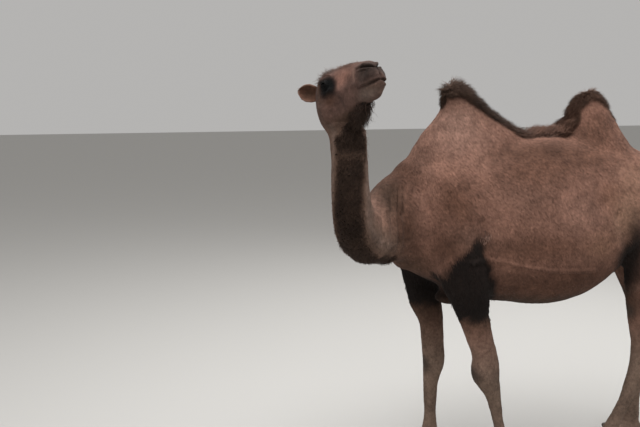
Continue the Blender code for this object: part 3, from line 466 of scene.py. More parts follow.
# By region, from the trunk to the ear: the short tufts' length, and their number on a square metre
TUFT_LENGTHS = np.array([0.017, 0.016, 0.010, 0.013, 0.013, 0.013, 0.013, 0.020, 0.008])
TUFT_DENSITIES = np.array([26000.0, 36000, 95000, 44000, 44000, 44000, 44000, 30000, 110000])
TUFT_SEED = 100
FUZZ_SEED = 208
FUZZ_DENSITY = 100000
FUZZ_WIDTH = 0.0030

# One lock's form: its width and rings, how it lifts off the skin and droops, its curl and how far it strays
Lock = namedtuple("Lock", "width rings lift droop wave turns stray")
LASH = Lock(0.0011, 5, 0.10, 0.55, 0.10, 0.5, 0.10)
LASH_LENGTH = 0.021
LASH_COUNT = 64
LASH_SEED = 300

# The lengths of locks that are alike all over their piece, and the least length along the back
THROAT_HAIR = 0.026
SIDE_HAIR = 0.023
CURL_HAIR = 0.030
BACK_HAIR_LEAST = 0.014

# A nail's half sizes along the toe, across it and up, and how high its flat lower side is
NAIL = (0.027, 0.0165, 0.0160)
NAIL_FLOOR = 0.0015

# The locks of each piece: seed, number on a square metre and form
LOCKS = {
    "hair_back": (201, 50000, Lock(0.0036, 4, 0.80, 0.30, 0.70, 1.3, 0.24)),
    "hair_throat": (202, 85000, Lock(0.0042, 4, 0.50, 0.45, 1.35, 1.3, 0.30)),
    "hair_beard": (203, 150000, Lock(0.0030, 5, 1.05, 0.65, 1.10, 1.5, 0.40)),
    "hair_forearms": (204, 30000, Lock(0.0040, 4, 0.10, 0.30, 0.20, 0.8, 0.12)),
    "hair_flanks": (205, 30000, Lock(0.0040, 4, 0.12, 0.45, 0.20, 0.8, 0.15)),
    "hair_tail": (206, 42000, Lock(0.0050, 5, 0.16, 0.5, 0.18, 0.7, 0.10)),
    "hair_crown": (207, 10000, Lock(0.0014, 5, 0.55, 0.1, 0.35, 0.6, 0.45)),
    "moult_curl": (209, 90000, Lock(0.0036, 5, 0.45, 0.4, 1.2, 1.5, 0.30)),
}

Loft = namedtuple("Loft", "centre along facing beside sizes grid")
Skin = namedtuple("Skin", "points normals triangles areas region ring lie tint")
Roots = namedtuple("Roots", "points normals lie tint region ring")


# ---------------------------------------------------------------- numbers


def smooth_rows(rows, count):
    """Cubic interpolation of the rows, at equal steps along the path of their first three columns."""
    rows = np.asarray(rows, float)
    at = np.concatenate([[0], np.cumsum(np.linalg.norm(np.diff(rows[:, :3], axis=0), axis=1))])
    slope = np.gradient(rows, at, axis=0)
    want = np.linspace(0, at[-1], count)
    i = np.clip(np.searchsorted(at, want, side="right") - 1, 0, len(at) - 2)
    width = (at[i + 1] - at[i])[:, None]
    t = (want - at[i])[:, None] / width
    return (
        (2 * t**3 - 3 * t**2 + 1) * rows[i]
        + (t**3 - 2 * t**2 + t) * width * slope[i]
        + (3 * t**2 - 2 * t**3) * rows[i + 1]
        + (t**3 - t**2) * width * slope[i + 1]
    )


def unit(vectors):
    """Each vector divided by its length."""
    return vectors / np.maximum(np.linalg.norm(vectors, axis=-1, keepdims=True), 1e-12)


def step(values, low, high):
    """An S curve that rises from 0 at low to 1 at high."""
    t = np.clip((values - low) / (high - low), 0, 1)
    return t * t * (3 - 2 * t)


def square_to(vectors, normals):
    """Each vector without its part along the normal."""
    return vectors - (vectors * normals).sum(1)[:, None] * normals


def mirrored(points):
    """The points folded onto one side: their second coordinate without its sign."""
    return np.stack([points[..., 0], np.abs(points[..., 1]), points[..., 2]], -1)


def within(points, middle, reach):
    """Which points lie in a box with this middle and these half sizes."""
    return (np.abs(points - middle) < reach).all(1)


def blob(points, place, reach):
    """One inside an ellipsoid with these half sizes, falling to none across its surface."""
    return np.exp(-((((points - place) / reach) ** 2).sum(-1)) ** 2)


def noise(points, size, seed):
    """Smooth noise from -1 to 1: random values on a repeating cubic lattice, mixed by an S curve."""
    count = 24
    values = np.random.default_rng(seed).uniform(-1, 1, (count, count, count))
    low = np.floor(points / size).astype(int)
    t = points / size - low
    t = t * t * (3 - 2 * t)
    total = np.zeros(len(points))
    for corner in np.ndindex(2, 2, 2):
        share = np.prod(np.where(corner, t, 1 - t), axis=1)
        total += share * values[tuple(((low + corner) % count).T)]
    return total


def distance_to_line(points, start, end):
    """The distance from each point to the line between two places."""
    run = end - start
    t = np.clip((points - start) @ run / (run @ run), 0, 1)
    return np.linalg.norm(points - start - t[:, None] * run, axis=1)


def distance_to_path(points, path):
    """The shortest distance from each point to a line through the path's points."""
    path = np.asarray(path, float)
    return np.min([distance_to_line(points, start, end) for start, end in zip(path[:-1], path[1:])], axis=0)


def relief(points, strokes):
    """The height of the skin's lines, in the space or plane of their paths: each is a bell across."""
    height = np.zeros(len(points))
    for path, width, amount in strokes:
        height += amount * np.exp(-((distance_to_path(points, path) / width) ** 2))
    return height


def mixed(colour, tint, share):
    """The colour moved towards the tint by each point's share."""
    return colour + share[:, None] * (np.array(tint) - colour)


def painted(points, colour, marks, ruffle):
    """The colour mixed towards each mark's, by its strength times a bell with a ruffled edge."""
    for place, reach, tint, strength, edge in marks:
        away = (((points - place) / reach) ** 2).sum(-1) * (1 + 0.45 * ruffle)
        colour = mixed(colour, tint, strength * np.exp(-np.clip(away, 0, 50) ** edge))
    return colour


# ---------------------------------------------------------------- shapes


def rounded(angle, power):
    """Cosine and sine of a superellipse: power 2 is an ellipse, and more is squarer."""
    c, s = np.cos(angle), np.sin(angle)
    return np.sign(c) * np.abs(c) ** (2 / power), np.sign(s) * np.abs(s) ** (2 / power)


def loft(rows, dorsal, rings=80, sides=40, axis=None):
    """A tube round a smooth path: centre + beside * cos * width + facing * sin * height, ring by ring.

    Each row is x, y, z, then the half size to the dorsal side, away from it and sideways, and the power.
    dorsal is one direction, or the row's own last three numbers when it is None. The sections are square to
    the path, or to axis where one is given.
    """
    rows = np.asarray(rows, float)
    if dorsal is not None:
        rows = np.concatenate([rows, np.tile(np.array(dorsal, float), (len(rows), 1))], axis=1)
    fine = smooth_rows(rows, rings)
    centre, sizes = fine[:, :3], fine[:, 3:7]
    along = unit(np.gradient(centre, axis=0) if axis is None else np.tile(np.array(axis, float), (rings, 1)))
    facing = unit(square_to(fine[:, 7:], along))
    beside = np.cross(along, facing)
    angle = np.linspace(0, 2 * math.pi, sides, endpoint=False)
    c, s = rounded(angle[None, :], sizes[:, 3:4])
    reach = np.where(s > 0, sizes[:, 0:1], sizes[:, 1:2])
    across = (sizes[:, 2:3] * c)[..., None] * beside[:, None]
    grid = centre[:, None] + across + (reach * s)[..., None] * facing[:, None]
    return Loft(centre, along, facing, beside, sizes, grid)


def level_rows(rows):
    """Loft rows of a level body, from rows of x, top, bottom, half width, widest height and power."""
    return [(x, 0, mid, top - mid, mid - bottom, half, power) for x, top, bottom, half, mid, power in rows]


def hump_rows(rows):
    """Loft rows of a hump, from rows of height, front, rear and half width."""
    return [
        ((front + rear) / 2, 0, z, (rear - front) / 2, (rear - front) / 2, half, 2.0)
        for z, front, rear, half in rows
    ]


def unit_ball(gap, rings, sides):
    """Rings of a ball of radius one round Z, which leave this angle open at each pole."""
    polar = np.linspace(gap, math.pi - gap, rings)[:, None]
    angle = np.linspace(0, 2 * math.pi, sides, endpoint=False)[None, :]
    around = np.sin(polar)
    return np.stack([around * np.cos(angle), around * np.sin(angle), np.cos(polar) + 0 * angle], -1)


def ball(centre, radii, turn=(0, 0, 0), rings=24, sides=32):
    """Rings of an ellipsoid with these half sizes, turned by degrees about X, Y and Z."""
    turned = Matrix.Identity(3)
    for axis, degrees in zip("XYZ", turn):
        turned = turned @ Matrix.Rotation(math.radians(degrees), 3, axis)
    return np.array(centre) + (unit_ball(0.02, rings, sides) * radii) @ np.array(turned).T


def head_matrix():
    """Turns head coordinates (forward from the poll, to the camel's left, up) into the body's own frame."""
    level = Vector((math.cos(HEAD_TURN), math.sin(HEAD_TURN), 0))
    forward = level * math.cos(HEAD_PITCH) + UP * math.sin(HEAD_PITCH)
    left = UP.cross(level) * math.cos(HEAD_ROLL) + forward.cross(UP.cross(level)) * math.sin(HEAD_ROLL)
    turned = Matrix((forward, left, forward.cross(left))).transposed().to_4x4()
    return np.array(Matrix.Translation(POLL) @ turned)


HEAD_FRAME = head_matrix()


def from_head(points):
    """Head coordinates in the body's own frame."""
    return points @ HEAD_FRAME[:3, :3].T + HEAD_FRAME[:3, 3]


def way_from_head(ways):
    """Directions of the head's frame in the body's own frame."""
    return ways @ HEAD_FRAME[:3, :3].T


def to_head(points):
    """Body coordinates in the head's frame."""
    return (points - HEAD_FRAME[:3, 3]) @ HEAD_FRAME[:3, :3]


def head_grid(rings, sides):
    """Rings of the head in its own frame: superelliptic sections, with each form pushed out or in."""
    rows = [(x, 0, 0, up, down, half, mid, power) for x, _, mid, up, down, half, power in level_rows(HEAD)]
    fine = smooth_rows(rows, rings)
    angle = np.linspace(0, 2 * math.pi, sides, endpoint=False)
    c, s = rounded(angle[None, :], fine[:, 7:8])
    reach = np.where(s > 0, fine[:, 3:4], fine[:, 4:5])
    across, up = fine[:, 5:6] * c, reach * s
    out = unit(np.stack([np.zeros_like(c), c / fine[:, 5:6], s / reach], -1))
    grid = np.stack([np.broadcast_to(fine[:, 0:1], c.shape), across, fine[:, 6:7] + up], -1)
    folded = mirrored(grid)
    for place, spread, amount in HEAD_FORMS:
        away = (((folded - place) / spread) ** 2).sum(-1)
        grid = grid + (amount * np.exp(-away))[..., None] * out
    return grid


def ear_frame(side):
    """An ear's root, and the ways across it, out of its back and to its tip, in the head's frame."""
    tip = Vector((-0.42, side * 0.80, 0.42)).normalized()
    hollow = Vector((0.75, side * 0.35, -0.15))
    hollow = (hollow - hollow.dot(tip) * tip).normalized()
    root = Vector((EAR_AT[0], side * EAR_AT[1], EAR_AT[2]))
    return np.array(root), np.array((hollow.cross(tip), -hollow, tip))


def ear_half_width(along):
    """Half the ear's width, by the share of its length from the root to the tip."""
    return EAR_WIDTH / 2 * np.interp(along, *EAR_OUTLINE)


def ear_share(local):
    """The share of the ear's length from its root, for places in its own axes."""
    return (local[:, 2] + EAR_ROOT) / EAR_LENGTH


def ear_grid(side, rings=34, around=23):
    """A cupped leaf: each ring is an arc, 1 - bend squared, and the same arc one wall further in."""
    t = np.linspace(0, 1, rings)
    half = ear_half_width(t)
    bend = np.linspace(-1, 1, around)
    arc = 1 - bend**2
    across = np.concatenate([bend, bend[-2:0:-1]])
    cup = np.concatenate([arc, arc[-2:0:-1]])
    inner = np.concatenate([np.zeros(around), np.ones(around - 2)])
    local = np.zeros((rings, len(across), 3))
    local[..., 0] = half[:, None] * across * (1 - 0.08 * inner)
    local[..., 1] = 0.75 * half[:, None] * cup - EAR_WALL * inner * (1 - 0.4 * t[:, None])
    local[..., 2] = EAR_LENGTH * t[:, None] - EAR_ROOT
    root, axes = ear_frame(side)
    return from_head(root + local @ axes)


def ring_faces(rings, sides):
    """Triangles of a tube of rings, closed at each end by a fan to a middle point."""
    ring, side = np.meshgrid(np.arange(rings - 1) * sides, np.arange(sides), indexing="ij")
    after = (side + 1) % sides
    a, b, c, d = ring + side, ring + after, ring + sides + after, ring + sides + side
    walls = np.concatenate([np.stack([a, b, c], -1).reshape(-1, 3), np.stack([a, c, d], -1).reshape(-1, 3)])
    k = np.arange(sides)
    end = (rings - 1) * sides
    start_fan = np.stack([np.full(sides, rings * sides), (k + 1) % sides, k], -1)
    end_fan = np.stack([np.full(sides, rings * sides + 1), end + k, end + (k + 1) % sides], -1)
    return np.concatenate([walls, start_fan, end_fan])


def shells(grids):
    """Points and triangles of several ring grids, each closed and with its faces pointing out."""
    points, faces, first = [], [], 0
    for grid in grids:
        rings, sides = grid.shape[:2]
        own = np.concatenate([grid.reshape(-1, 3), [grid[0].mean(0)], [grid[-1].mean(0)]])
        made = ring_faces(rings, sides)
        corners = own[made]
        if np.linalg.det(corners - own.mean(0)).sum() < 0:
            made = made[:, ::-1]
        points.append(own)
        faces.append(made + first)
        first += len(own)
    return np.concatenate(points), np.concatenate(faces)


# ---------------------------------------------------------------- meshes

eye_low, eye_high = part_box("eye_left")
SHIFT = (np.array(eye_low) + np.array(eye_high)) / 2 - from_head(EYE_AT)


def mesh_piece(name, points, triangles, material, slot, *nodes):
    """A mesh object of body coordinates moved to the frame, which rides the body and replaces these nodes."""
    mesh = bpy.data.meshes.new(name)
    mesh.vertices.add(len(points))
    mesh.vertices.foreach_set("co", (points + SHIFT).astype(np.float32).ravel())
    mesh.loops.add(triangles.size)
    mesh.loops.foreach_set("vertex_index", triangles.astype(np.int32).ravel())
    mesh.polygons.add(len(triangles))
    mesh.polygons.foreach_set("loop_start", np.arange(0, triangles.size, 3, dtype=np.int32))
    mesh.update(calc_edges=True)
    mesh.shade_smooth()
    mesh.materials.append(material)
    made = bpy.data.objects.new(name, mesh)
    bpy.context.scene.collection.objects.link(made)
    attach(made, "root")
    if nodes:
        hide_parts(*nodes)
    return made


def give_tint(obj, tint):
    """Keeps a colour for each point, which the materials read."""
    layer = obj.data.attributes.new("tint", "FLOAT_COLOR", "POINT")
    opaque = np.concatenate([tint, np.ones((len(tint), 1))], 1)
    layer.data.foreach_set("color", opaque.astype(np.float32).ravel())


def give_normals(obj, normals):
    """Sets the direction in which each point is shaded."""
    layer = obj.data.attributes.new("custom_normal", "FLOAT_VECTOR", "POINT")
    layer.data.foreach_set("vector", normals.astype(np.float32).ravel())


def give_patches(obj, triangles, places):
    """Writes the OFBake map: one place for each point, read by each corner."""
    layer = obj.data.uv_layers.new(name="OFBake")
    layer.uv.foreach_set("vector", places[triangles.ravel()].astype(np.float32).ravel())


def arrays_of(mesh):
    """The mesh's points and triangles as arrays."""
    points = np.empty(len(mesh.vertices) * 3, np.float32)
    mesh.vertices.foreach_get("co", points)
    mesh.calc_loop_triangles()
    triangles = np.empty(len(mesh.loop_triangles) * 3, np.int32)
    mesh.loop_triangles.foreach_get("vertices", triangles)
    return points.reshape(-1, 3).astype(float), triangles.reshape(-1, 3)


def face_normals(points, triangles):
    """The cross product of each triangle's edges, which is twice its area long."""
    corners = points[triangles]
    return np.cross(corners[:, 1] - corners[:, 0], corners[:, 2] - corners[:, 0])


def point_normals(points, triangles):
    """Each point's normal: the sum of its triangles' own, made one long."""
    cross = face_normals(points, triangles)
    corners = triangles.ravel()
    return unit(np.stack([np.bincount(corners, np.repeat(part, 3), len(points)) for part in cross.T], -1))


# ---------------------------------------------------------------- the skin

TRUNK_LOFT = loft(level_rows(TRUNK), (0, 0, 1), 80, 48, (1, 0, 0))
NECK_LOFT = loft(NECK, None, 80, 40)
head_loft = loft(level_rows(HEAD), (0, 0, 1), 60, 32, (1, 0, 0))
HEAD_LOFT = Loft(
    from_head(head_loft.centre),
    way_from_head(head_loft.along),
    way_from_head(head_loft.facing),
    way_from_head(head_loft.beside),
    head_loft.sizes,
    from_head(head_grid(90, 64)),
)
LEG_LOFTS = [loft(rows, (-1, 0, 0), 70, 32) for rows in (FORE_NEAR, FORE_FAR, HIND_NEAR, HIND_FAR)]
TAIL_LOFT = loft(np.array(TAIL) * (1, 1, 1, 0.6, 0.6, 0.6, 1), (1, 0, 0.1), 40, 20)

# The regions' numbers, their lofts, and the first and last of each loft's rings that count as its own
ON_TRUNK, ON_NECK, ON_HEAD = range(3)
ON_FORE_NEAR, ON_FORE_FAR, ON_HIND_NEAR, ON_HIND_FAR = range(3, 7)
ON_TAIL, ON_EAR = range(7, 9)
LOFTS = [TRUNK_LOFT, NECK_LOFT, HEAD_LOFT, *LEG_LOFTS, TAIL_LOFT]
OWN = [(0, 80), (27, 74), (8, 60), (24, 70), (24, 70), (27, 70), (27, 70), (8, 40)]


def body_grids():
    """The overlapping shapes of the flesh: trunk, humps, neck, head, legs, tail, feet and muscle masses."""
    grids = [item.grid for item in LOFTS]
    for hump in (FRONT_HUMP, REAR_HUMP):
        grids.append(loft(hump_rows(hump), (-1, 0, 0), 60, 36, (0, 0, 1)).grid)
    for x, y, half in FEET.values():
        grids.append(ball((x + 0.015, y, 0.030), (half * 0.85, 0.078, 0.044)))
        for side in (-1, 1):
            toe = (x - half * 0.42, y + side * 0.040, 0.024)
            grids.append(ball(toe, (half * 0.62, 0.043, 0.036), (0, 0, -side * 6)))
    for side in (-1, 1):
        grids.append(ball((-0.62, side * 0.175, 1.27), (0.15, 0.085, 0.22), (side * 8, 12, 0)))
        grids.append(ball((0.44, side * 0.165, 1.33), (0.19, 0.10, 0.19), (side * 10, 0, 0)))
    grids.append(ball((-0.78, 0, 1.14), (0.13, 0.13, 0.115)))
    grids.append(ball((-0.565, 0, 0.890), (0.10, 0.08, 0.045)))
    return grids


def scratch(name, points, triangles):
    """A plain object of these arrays, for the modifiers that fuse the skin."""
    mesh = bpy.data.meshes.new(name)
    mesh.from_pydata(points.tolist(), [], triangles.tolist())
    made = bpy.data.objects.new(name, mesh)
    bpy.context.scene.collection.objects.link(made)
    return made


def settled(obj):
    """The mesh that the object's modifiers give."""
    bpy.context.view_layer.update()
    return bpy.data.meshes.new_from_object(obj.evaluated_get(bpy.context.evaluated_depsgraph_get()))


def refine(mesh, inside):
    """Halves the mesh's edges wherever inside holds, and splits faces of more than four corners into
    triangles.
    """
    centres = np.empty(len(mesh.polygons) * 3, np.float32)
    mesh.polygons.foreach_get("center", centres)
    chosen = np.flatnonzero(inside(centres.reshape(-1, 3).astype(float)))
    shell = bmesh.new()
    shell.from_mesh(mesh)
    shell.faces.ensure_lookup_table()
    edges = list({edge for i in chosen for edge in shell.faces[i].edges})
    bmesh.ops.subdivide_edges(shell, edges=edges, cuts=1, use_grid_fill=True)
    bmesh.ops.triangulate(shell, faces=[face for face in shell.faces if len(face.verts) > 4])
    shell.to_mesh(mesh)
    shell.free()


def first_zone(points):
    """Where the skin is made finer first: the head, the folds by the neck, the flank's vein, the feet."""
    head = within(to_head(points), (0.245, 0, 0), (0.27, 0.14, 0.22))
    folds = within(points, (-0.96, -0.58, 1.31), (0.12, 0.50, 0.18))
    vein = (distance_to_path(points[:, [0, 2]], VEIN) < 0.035) & (np.abs(points[:, 1]) > 0.15)
    return head | folds | vein | (points[:, 2] < 0.10)


def face_zone(points):
    """Where the face wants a finer skin: from the brow to the lips."""
    return within(to_head(points), (0.3025, 0, 0), (0.2175, 0.14, 0.22))


def near_eye(place, reach):
    """Which places of the mirrored head are within reach of the eye, and half as far again across it."""
    return np.linalg.norm((place - EYE_AT) / (1, 1.5, 1), axis=1) < reach


def feature_zone(points):
    """The eyes, nostrils and lips."""
    place = mirrored(to_head(points))
    lines = np.min([distance_to_path(place, path) for path, _, _ in FEATURE_STROKES], axis=0) < 0.013
    return face_zone(points) & (near_eye(place, 0.052) | lines)


def lid_zone(points):
    """The lids and the slits of the nostrils."""
    place = mirrored(to_head(points))
    return face_zone(points) & (near_eye(place, 0.028) | (distance_to_path(place, NOSTRIL) < 0.008))


EYE_OUT = unit(np.array((0.30, 0.95, 0.05)))
EYE_ALONG = unit(np.array((0.93, -0.30, -0.20)))
EYE_UP = np.cross(EYE_ALONG, EYE_OUT) * (-1 if np.cross(EYE_ALONG, EYE_OUT)[2] < 0 else 1)
LID_RADIUS = EYE_RADIUS + 0.0032

# Half the length of the eye's opening, and its height above and below the middle
OPENING = 0.0185
OPEN_UP = 0.0118
OPEN_DOWN = 0.0100


def from_eye(u, v, w):
    """Places of the mirrored head, from how far they lie along the eye, up it and out of it."""
    return EYE_AT + u[:, None] * EYE_ALONG + v[:, None] * EYE_UP + w[:, None] * EYE_OUT


def opening_height(u, above):
    """How far the eye's opening reaches above or below its middle line, at a place along it."""
    return np.where(above, OPEN_UP, OPEN_DOWN) * np.clip(1 - (u / OPENING) ** 2, 0, 1) ** 0.75


def shape_lids(points):
    """Raises the skin over each eyeball as a lid, and drops what lies in the almond-shaped opening behind it.

    Over the ball the skin is a dome 3 mm outside it, blended into the face by a smooth maximum. Points by the
    opening's edge move onto the edge, and a crease runs above it.
    """
    place = to_head(points)
    side = np.where(place[:, 1] < 0, -1.0, 1.0)
    relative = mirrored(place) - EYE_AT
    u, v, w = relative @ EYE_ALONG, relative @ EYE_UP, relative @ EYE_OUT
    away = np.hypot(u, v)
    near = (away < 0.05) & (w > -0.03)
    edge = opening_height(u, v > 0)
    beyond = np.where(np.abs(u) < OPENING, np.abs(v) - edge, np.hypot(np.abs(u) - OPENING, v))
    rim = near & (np.abs(beyond) < 0.0008) & (np.abs(u) < 0.97 * OPENING)
    v = np.where(rim, np.sign(v) * edge, v)
    dome = np.sqrt(np.clip(LID_RADIUS**2 - away**2, 0, None))
    blend = 0.0035
    lifted = np.maximum(w, dome) + blend * np.log1p(np.exp(-np.abs(w - dome) / blend))
    crease = np.exp(-(((beyond - 0.0065) / 0.0022) ** 2)) * np.where(v > 0, 0.0022, 0.0014)
    lifted = lifted - crease
    inside = near & (beyond < -0.0002) & ~rim
    ball_depth = np.sqrt(np.clip(EYE_RADIUS**2 - away**2, 0, None)) - 0.006
    w = np.where(near, np.where(inside, ball_depth, lifted), w)
    folded = from_eye(u, v, w)
    folded[:, 1] *= side
    moved = points.copy()
    moved[near] = from_head(folded[near])
    return moved


def nearest_ring(points, item, first, last):
    """The nearest ring of a loft for each point, and the distance to its centre over its mean size."""
    centre = item.centre[first:last]
    size = item.sizes[first:last, :3].mean(1)
    best, index = np.full(len(points), 1e9), np.zeros(len(points), int)
    for i in range(len(centre)):
        away = np.linalg.norm(points - centre[i], axis=1) / size[i]
        closer = away < best
        best[closer], index[closer] = away[closer], i + first
    return index, best


def regions_of(points):
    """The region of each point, its ring, and how near it is to each region, as shares that add up to one."""
    found = [nearest_ring(points, item, *own) for item, own in zip(LOFTS, OWN)]
    away = np.stack([best for _, best in found], -1)
    rings = np.stack([index for index, _ in found], -1)
    region = away.argmin(1)
    share = np.exp(-7 * (away - away.min(1)[:, None]))
    return region, rings[np.arange(len(points)), region], share / share.sum(1)[:, None]


def on_legs(region):
    """Which points belong to one of the legs."""
    return (region >= ON_FORE_NEAR) & (region <= ON_HIND_FAR)


def neck_row(ring):
    """The ring as a row of the neck's loft, for points of any region."""
    return np.minimum(ring, len(NECK_LOFT.centre) - 1)


def lie_of_coat(points, normals, region, ring, share):
    """The way the hair lies: back and down on the trunk, down the neck and legs, and up the face."""
    ways = np.zeros((len(points), len(LOFTS), 3))
    ways[:, ON_TRUNK] = (0.50, 0.0, -0.85)
    ways[:, ON_NECK] = unit(-NECK_LOFT.along[neck_row(ring)] * (0.35, 0.35, 1.0) + (0.0, 0.0, -0.6))
    ways[:, ON_HEAD] = way_from_head(np.array((-1.0, 0.0, -0.30)))
    ways[:, ON_FORE_NEAR:ON_TAIL] = (0.18, 0.0, -1.0)
    ways[:, ON_TAIL] = (0.1, 0.0, -1.0)
    lie = (ways * share[..., None]).sum(1)
    front = np.exp(-(((points[:, 0] + 0.78) / 0.10) ** 2)) * (region == ON_TRUNK)
    lie = lie + front[:, None] * np.array((0.2, 0.0, -0.8))
    lie = lie + 0.30 * np.stack([noise(points, 0.12, seed) for seed in (31, 32, 33)], -1)
    return unit(square_to(lie, normals))


def ridge_length(points):
    """The length of the long hair over the humps and back, which fades out past its half width."""
    path = np.array([(x, 0.0, z) for x, z, _, _ in RIDGE])
    best, length = np.full(len(points), 9.0), np.zeros(len(points))
    for (_, _, full, half), start, end in zip(RIDGE, path, path[1:]):
        away = distance_to_line(points, start, end) / half
        closer = away < best
        best[closer] = away[closer]
        length[closer] = full
    return length * (1 - step(best, 0.75, 1.35))


def toward_throat(points, ring):
    """The cosine of the angle round the neck from the middle of its throat: 1 in front and -1 on the nape."""
    row = neck_row(ring)
    outward = square_to(points - NECK_LOFT.centre[row], NECK_LOFT.along[row])
    return -(outward * NECK_LOFT.facing[row]).sum(1) / np.maximum(np.linalg.norm(outward, axis=1), 1e-9)


def throat_share(points, region, ring):
    """One down the front of the neck and under the jaw, and none on its sides and nape."""
    toward = toward_throat(points, ring)
    z = points[:, 2]
    below = step(toward + 0.07 * noise(points, 0.04, seed=41), 0.72, 0.88) * (1 - step(z, 1.60, 1.68))
    place = to_head(points)
    ahead, aside = place[:, 0], np.abs(place[:, 1])
    halves = [-0.03, 0.055, 0.044, 0.022, 0.018, 0.018, -0.03]
    under = np.interp(ahead, [0.07, 0.09, 0.12, 0.15, 0.22, 0.34, 0.38], halves)
    above = np.interp(ahead, [0.075, 0.105, 0.30], [-0.02, 0.058, 0.058])
    half = np.where(region == ON_NECK, above, under) + 0.008 * noise(points, 0.02, seed=43)
    strip = step(half - aside, -0.012, 0.012) * step(-place[:, 2], 0.070, 0.090)
    edge = np.interp(aside, [0.020, 0.030, 0.055], [1.80, 1.74, 1.712])
    low = np.where(region == ON_NECK, step(z, 1.60, 1.68) * (1 - step(z, edge - 0.008, edge + 0.008)), 1.0)
    return np.maximum(below * (region == ON_NECK), strip * low * ((region == ON_NECK) | (region == ON_HEAD)))


def forearm_share(points, region):
    """One on the black hair of each forearm: a wedge that widens from the shoulder down the arm."""
    z = points[:, 2]
    lag = np.where(points[:, 1] > 0, 0.055, 0.0)
    centre = np.interp(z, [0.80, 1.00, 1.10, 1.17, 1.24], [-0.555, -0.590, -0.600, -0.575, -0.560]) - lag
    halves = [0.160, 0.160, 0.135, 0.105, 0.050, 0.010, -0.060]
    half = np.interp(z, [0.80, 0.95, 1.05, 1.10, 1.17, 1.25, 1.28], halves)
    ruffle = 0.018 * noise(points, 0.035, seed=42)
    inside = step(half - np.abs(points[:, 0] - centre) + ruffle, -0.012, 0.022)
    lower = step(z + 1.4 * ruffle, 0.800, 0.850)
    outer = (np.abs(points[:, 1]) > 0.09) & np.isin(region, (ON_TRUNK, ON_FORE_NEAR, ON_FORE_FAR))
    return inside * lower * outer


def coat_depth(points, region, ring, share):
    """How far the skin lies inside the coat's tips: a few millimetres, and more under the long hair."""
    base = share @ COAT_DEPTHS
    place = to_head(points)
    muzzle = (region == ON_HEAD) * step(place[:, 0], 0.26, 0.40)
    foot = step(0.16 - points[:, 2], 0, 0.06)
    base = base * (1 - 0.5 * muzzle) * (1 - 0.45 * foot)
    base = base + 0.15 * ridge_length(points)
    base = base + 0.012 * throat_share(points, region, ring) * (region == ON_NECK)
    return base + 0.004 * forearm_share(points, region)


def face_tint(place, base, ruffle):
    """The colours of the face, with painted shade along the slits of the nostrils, the mouth and the split of
    the lip.
    """
    face = painted(place, base, FACE_MARKS, ruffle)
    for path, width, _ in FEATURE_STROKES:
        if path in (NOSTRIL, MOUTH, SPLIT_LIP):
            # Painted shade: near black along the slits, where they lie deep
            away = distance_to_path(place, path) / (1.3 * width)
            face = mixed(face, EYE_RING, 0.88 * np.exp(-(away**2)))
    return face


def coat_tint(points, region, ring, share):
    """The markings: base colours by region, mottling, the marks of body and face, and the long dark hair,
    with painted shade on the far foreleg and under the neck, and painted light low on the far foreleg.
    """
    z = points[:, 2]
    on_neck, toward = share[:, ON_NECK], toward_throat(points, ring)
    base = share @ BASE_COLOURS
    ruffle = 0.6 * noise(points, 0.09, seed=51) + 0.4 * noise(points, 0.035, seed=52)
    base = mixed(base, FLANK, on_legs(region) * step(z, 0.50, 0.90))
    base = mixed(base, FLANK, 0.6 * (on_neck * (1 - step(toward, -0.5, 0.2)) * step(z, 1.1, 1.3)))
    pale = on_neck * np.exp(-(((toward - 0.42) / 0.20) ** 2)) * step(z, 1.10, 1.25)
    base = mixed(base, ASH, 0.6 * pale)
    # Painted shade on the far foreleg and the far side of the chest above it, and painted light on that leg's
    # lower part, which lies in shade
    far_side_shade = (region == ON_TRUNK) & (points[:, 1] > 0.1) & (z < 1.05) & (points[:, 0] < -0.45)
    base = mixed(base, DARK_BROWN, 0.75 * (((region == ON_FORE_FAR) | far_side_shade) * step(z, 0.55, 0.80)))
    base = base * (1 + 0.25 * (region == ON_FORE_FAR) * (1 - step(z, 0.45, 0.65)))[:, None]
    body = mirrored(points)
    body[:, 0] -= HIND_SET_BACK * step(points[:, 0], 0.10, 0.36) * step(points[:, 1], 0.0, 0.1)
    colour = painted(body, base, BODY_MARKS, ruffle)
    # The lowest part of the neck, under its bend, darkened: its dark hair, and painted shade beneath the bend
    colour = mixed(colour, DARK_BROWN, 0.8 * (on_neck * (1 - step(z, 1.10, 1.20))))
    in_head = region == ON_HEAD
    if in_head.any():
        colour[in_head] = face_tint(mirrored(to_head(points[in_head])), base[in_head], 0.5 * ruffle[in_head])
    colour = painted(mirrored(points), colour, CALLUSES, 4 / 3 * ruffle)
    colour = mixed(colour, BLACK, 0.97 * forearm_share(points, region))
    mane = mixed(np.array(DARK_BROWN), MANE, ridge_paleness(points))
    colour = mixed(colour, mane, 0.95 * step(ridge_length(points), 0.004, 0.018))
    colour = mixed(colour, BROWN, 0.55 * (on_neck * step(toward, 0.50, 0.80)))
    colour = mixed(colour, THROAT, 0.95 * throat_share(points, region, ring))
    mottle = 1 + 0.10 * noise(points, 0.20, seed=53) + 0.20 * noise(points, 0.07, seed=54)
    mottle += 0.22 * noise(points, 0.025, seed=55)
    return np.clip(colour * mottle[:, None], 0.004, 0.9)


def ridge_paleness(points):
    """The mane is darkest on the humps' tops and paler brown on the back between them."""
    x = points[:, 0]
    return step(x, -0.42, -0.22) * (1 - 0.55 * step(x, -0.02, 0.10)) * np.where(x < 0.3, 1.0, 0.5)


def soften(obj):
    """Evens the object's points a little."""
    even = obj.modifiers.new("even", "SMOOTH")
    even.factor = 0.5
    even.iterations = 3


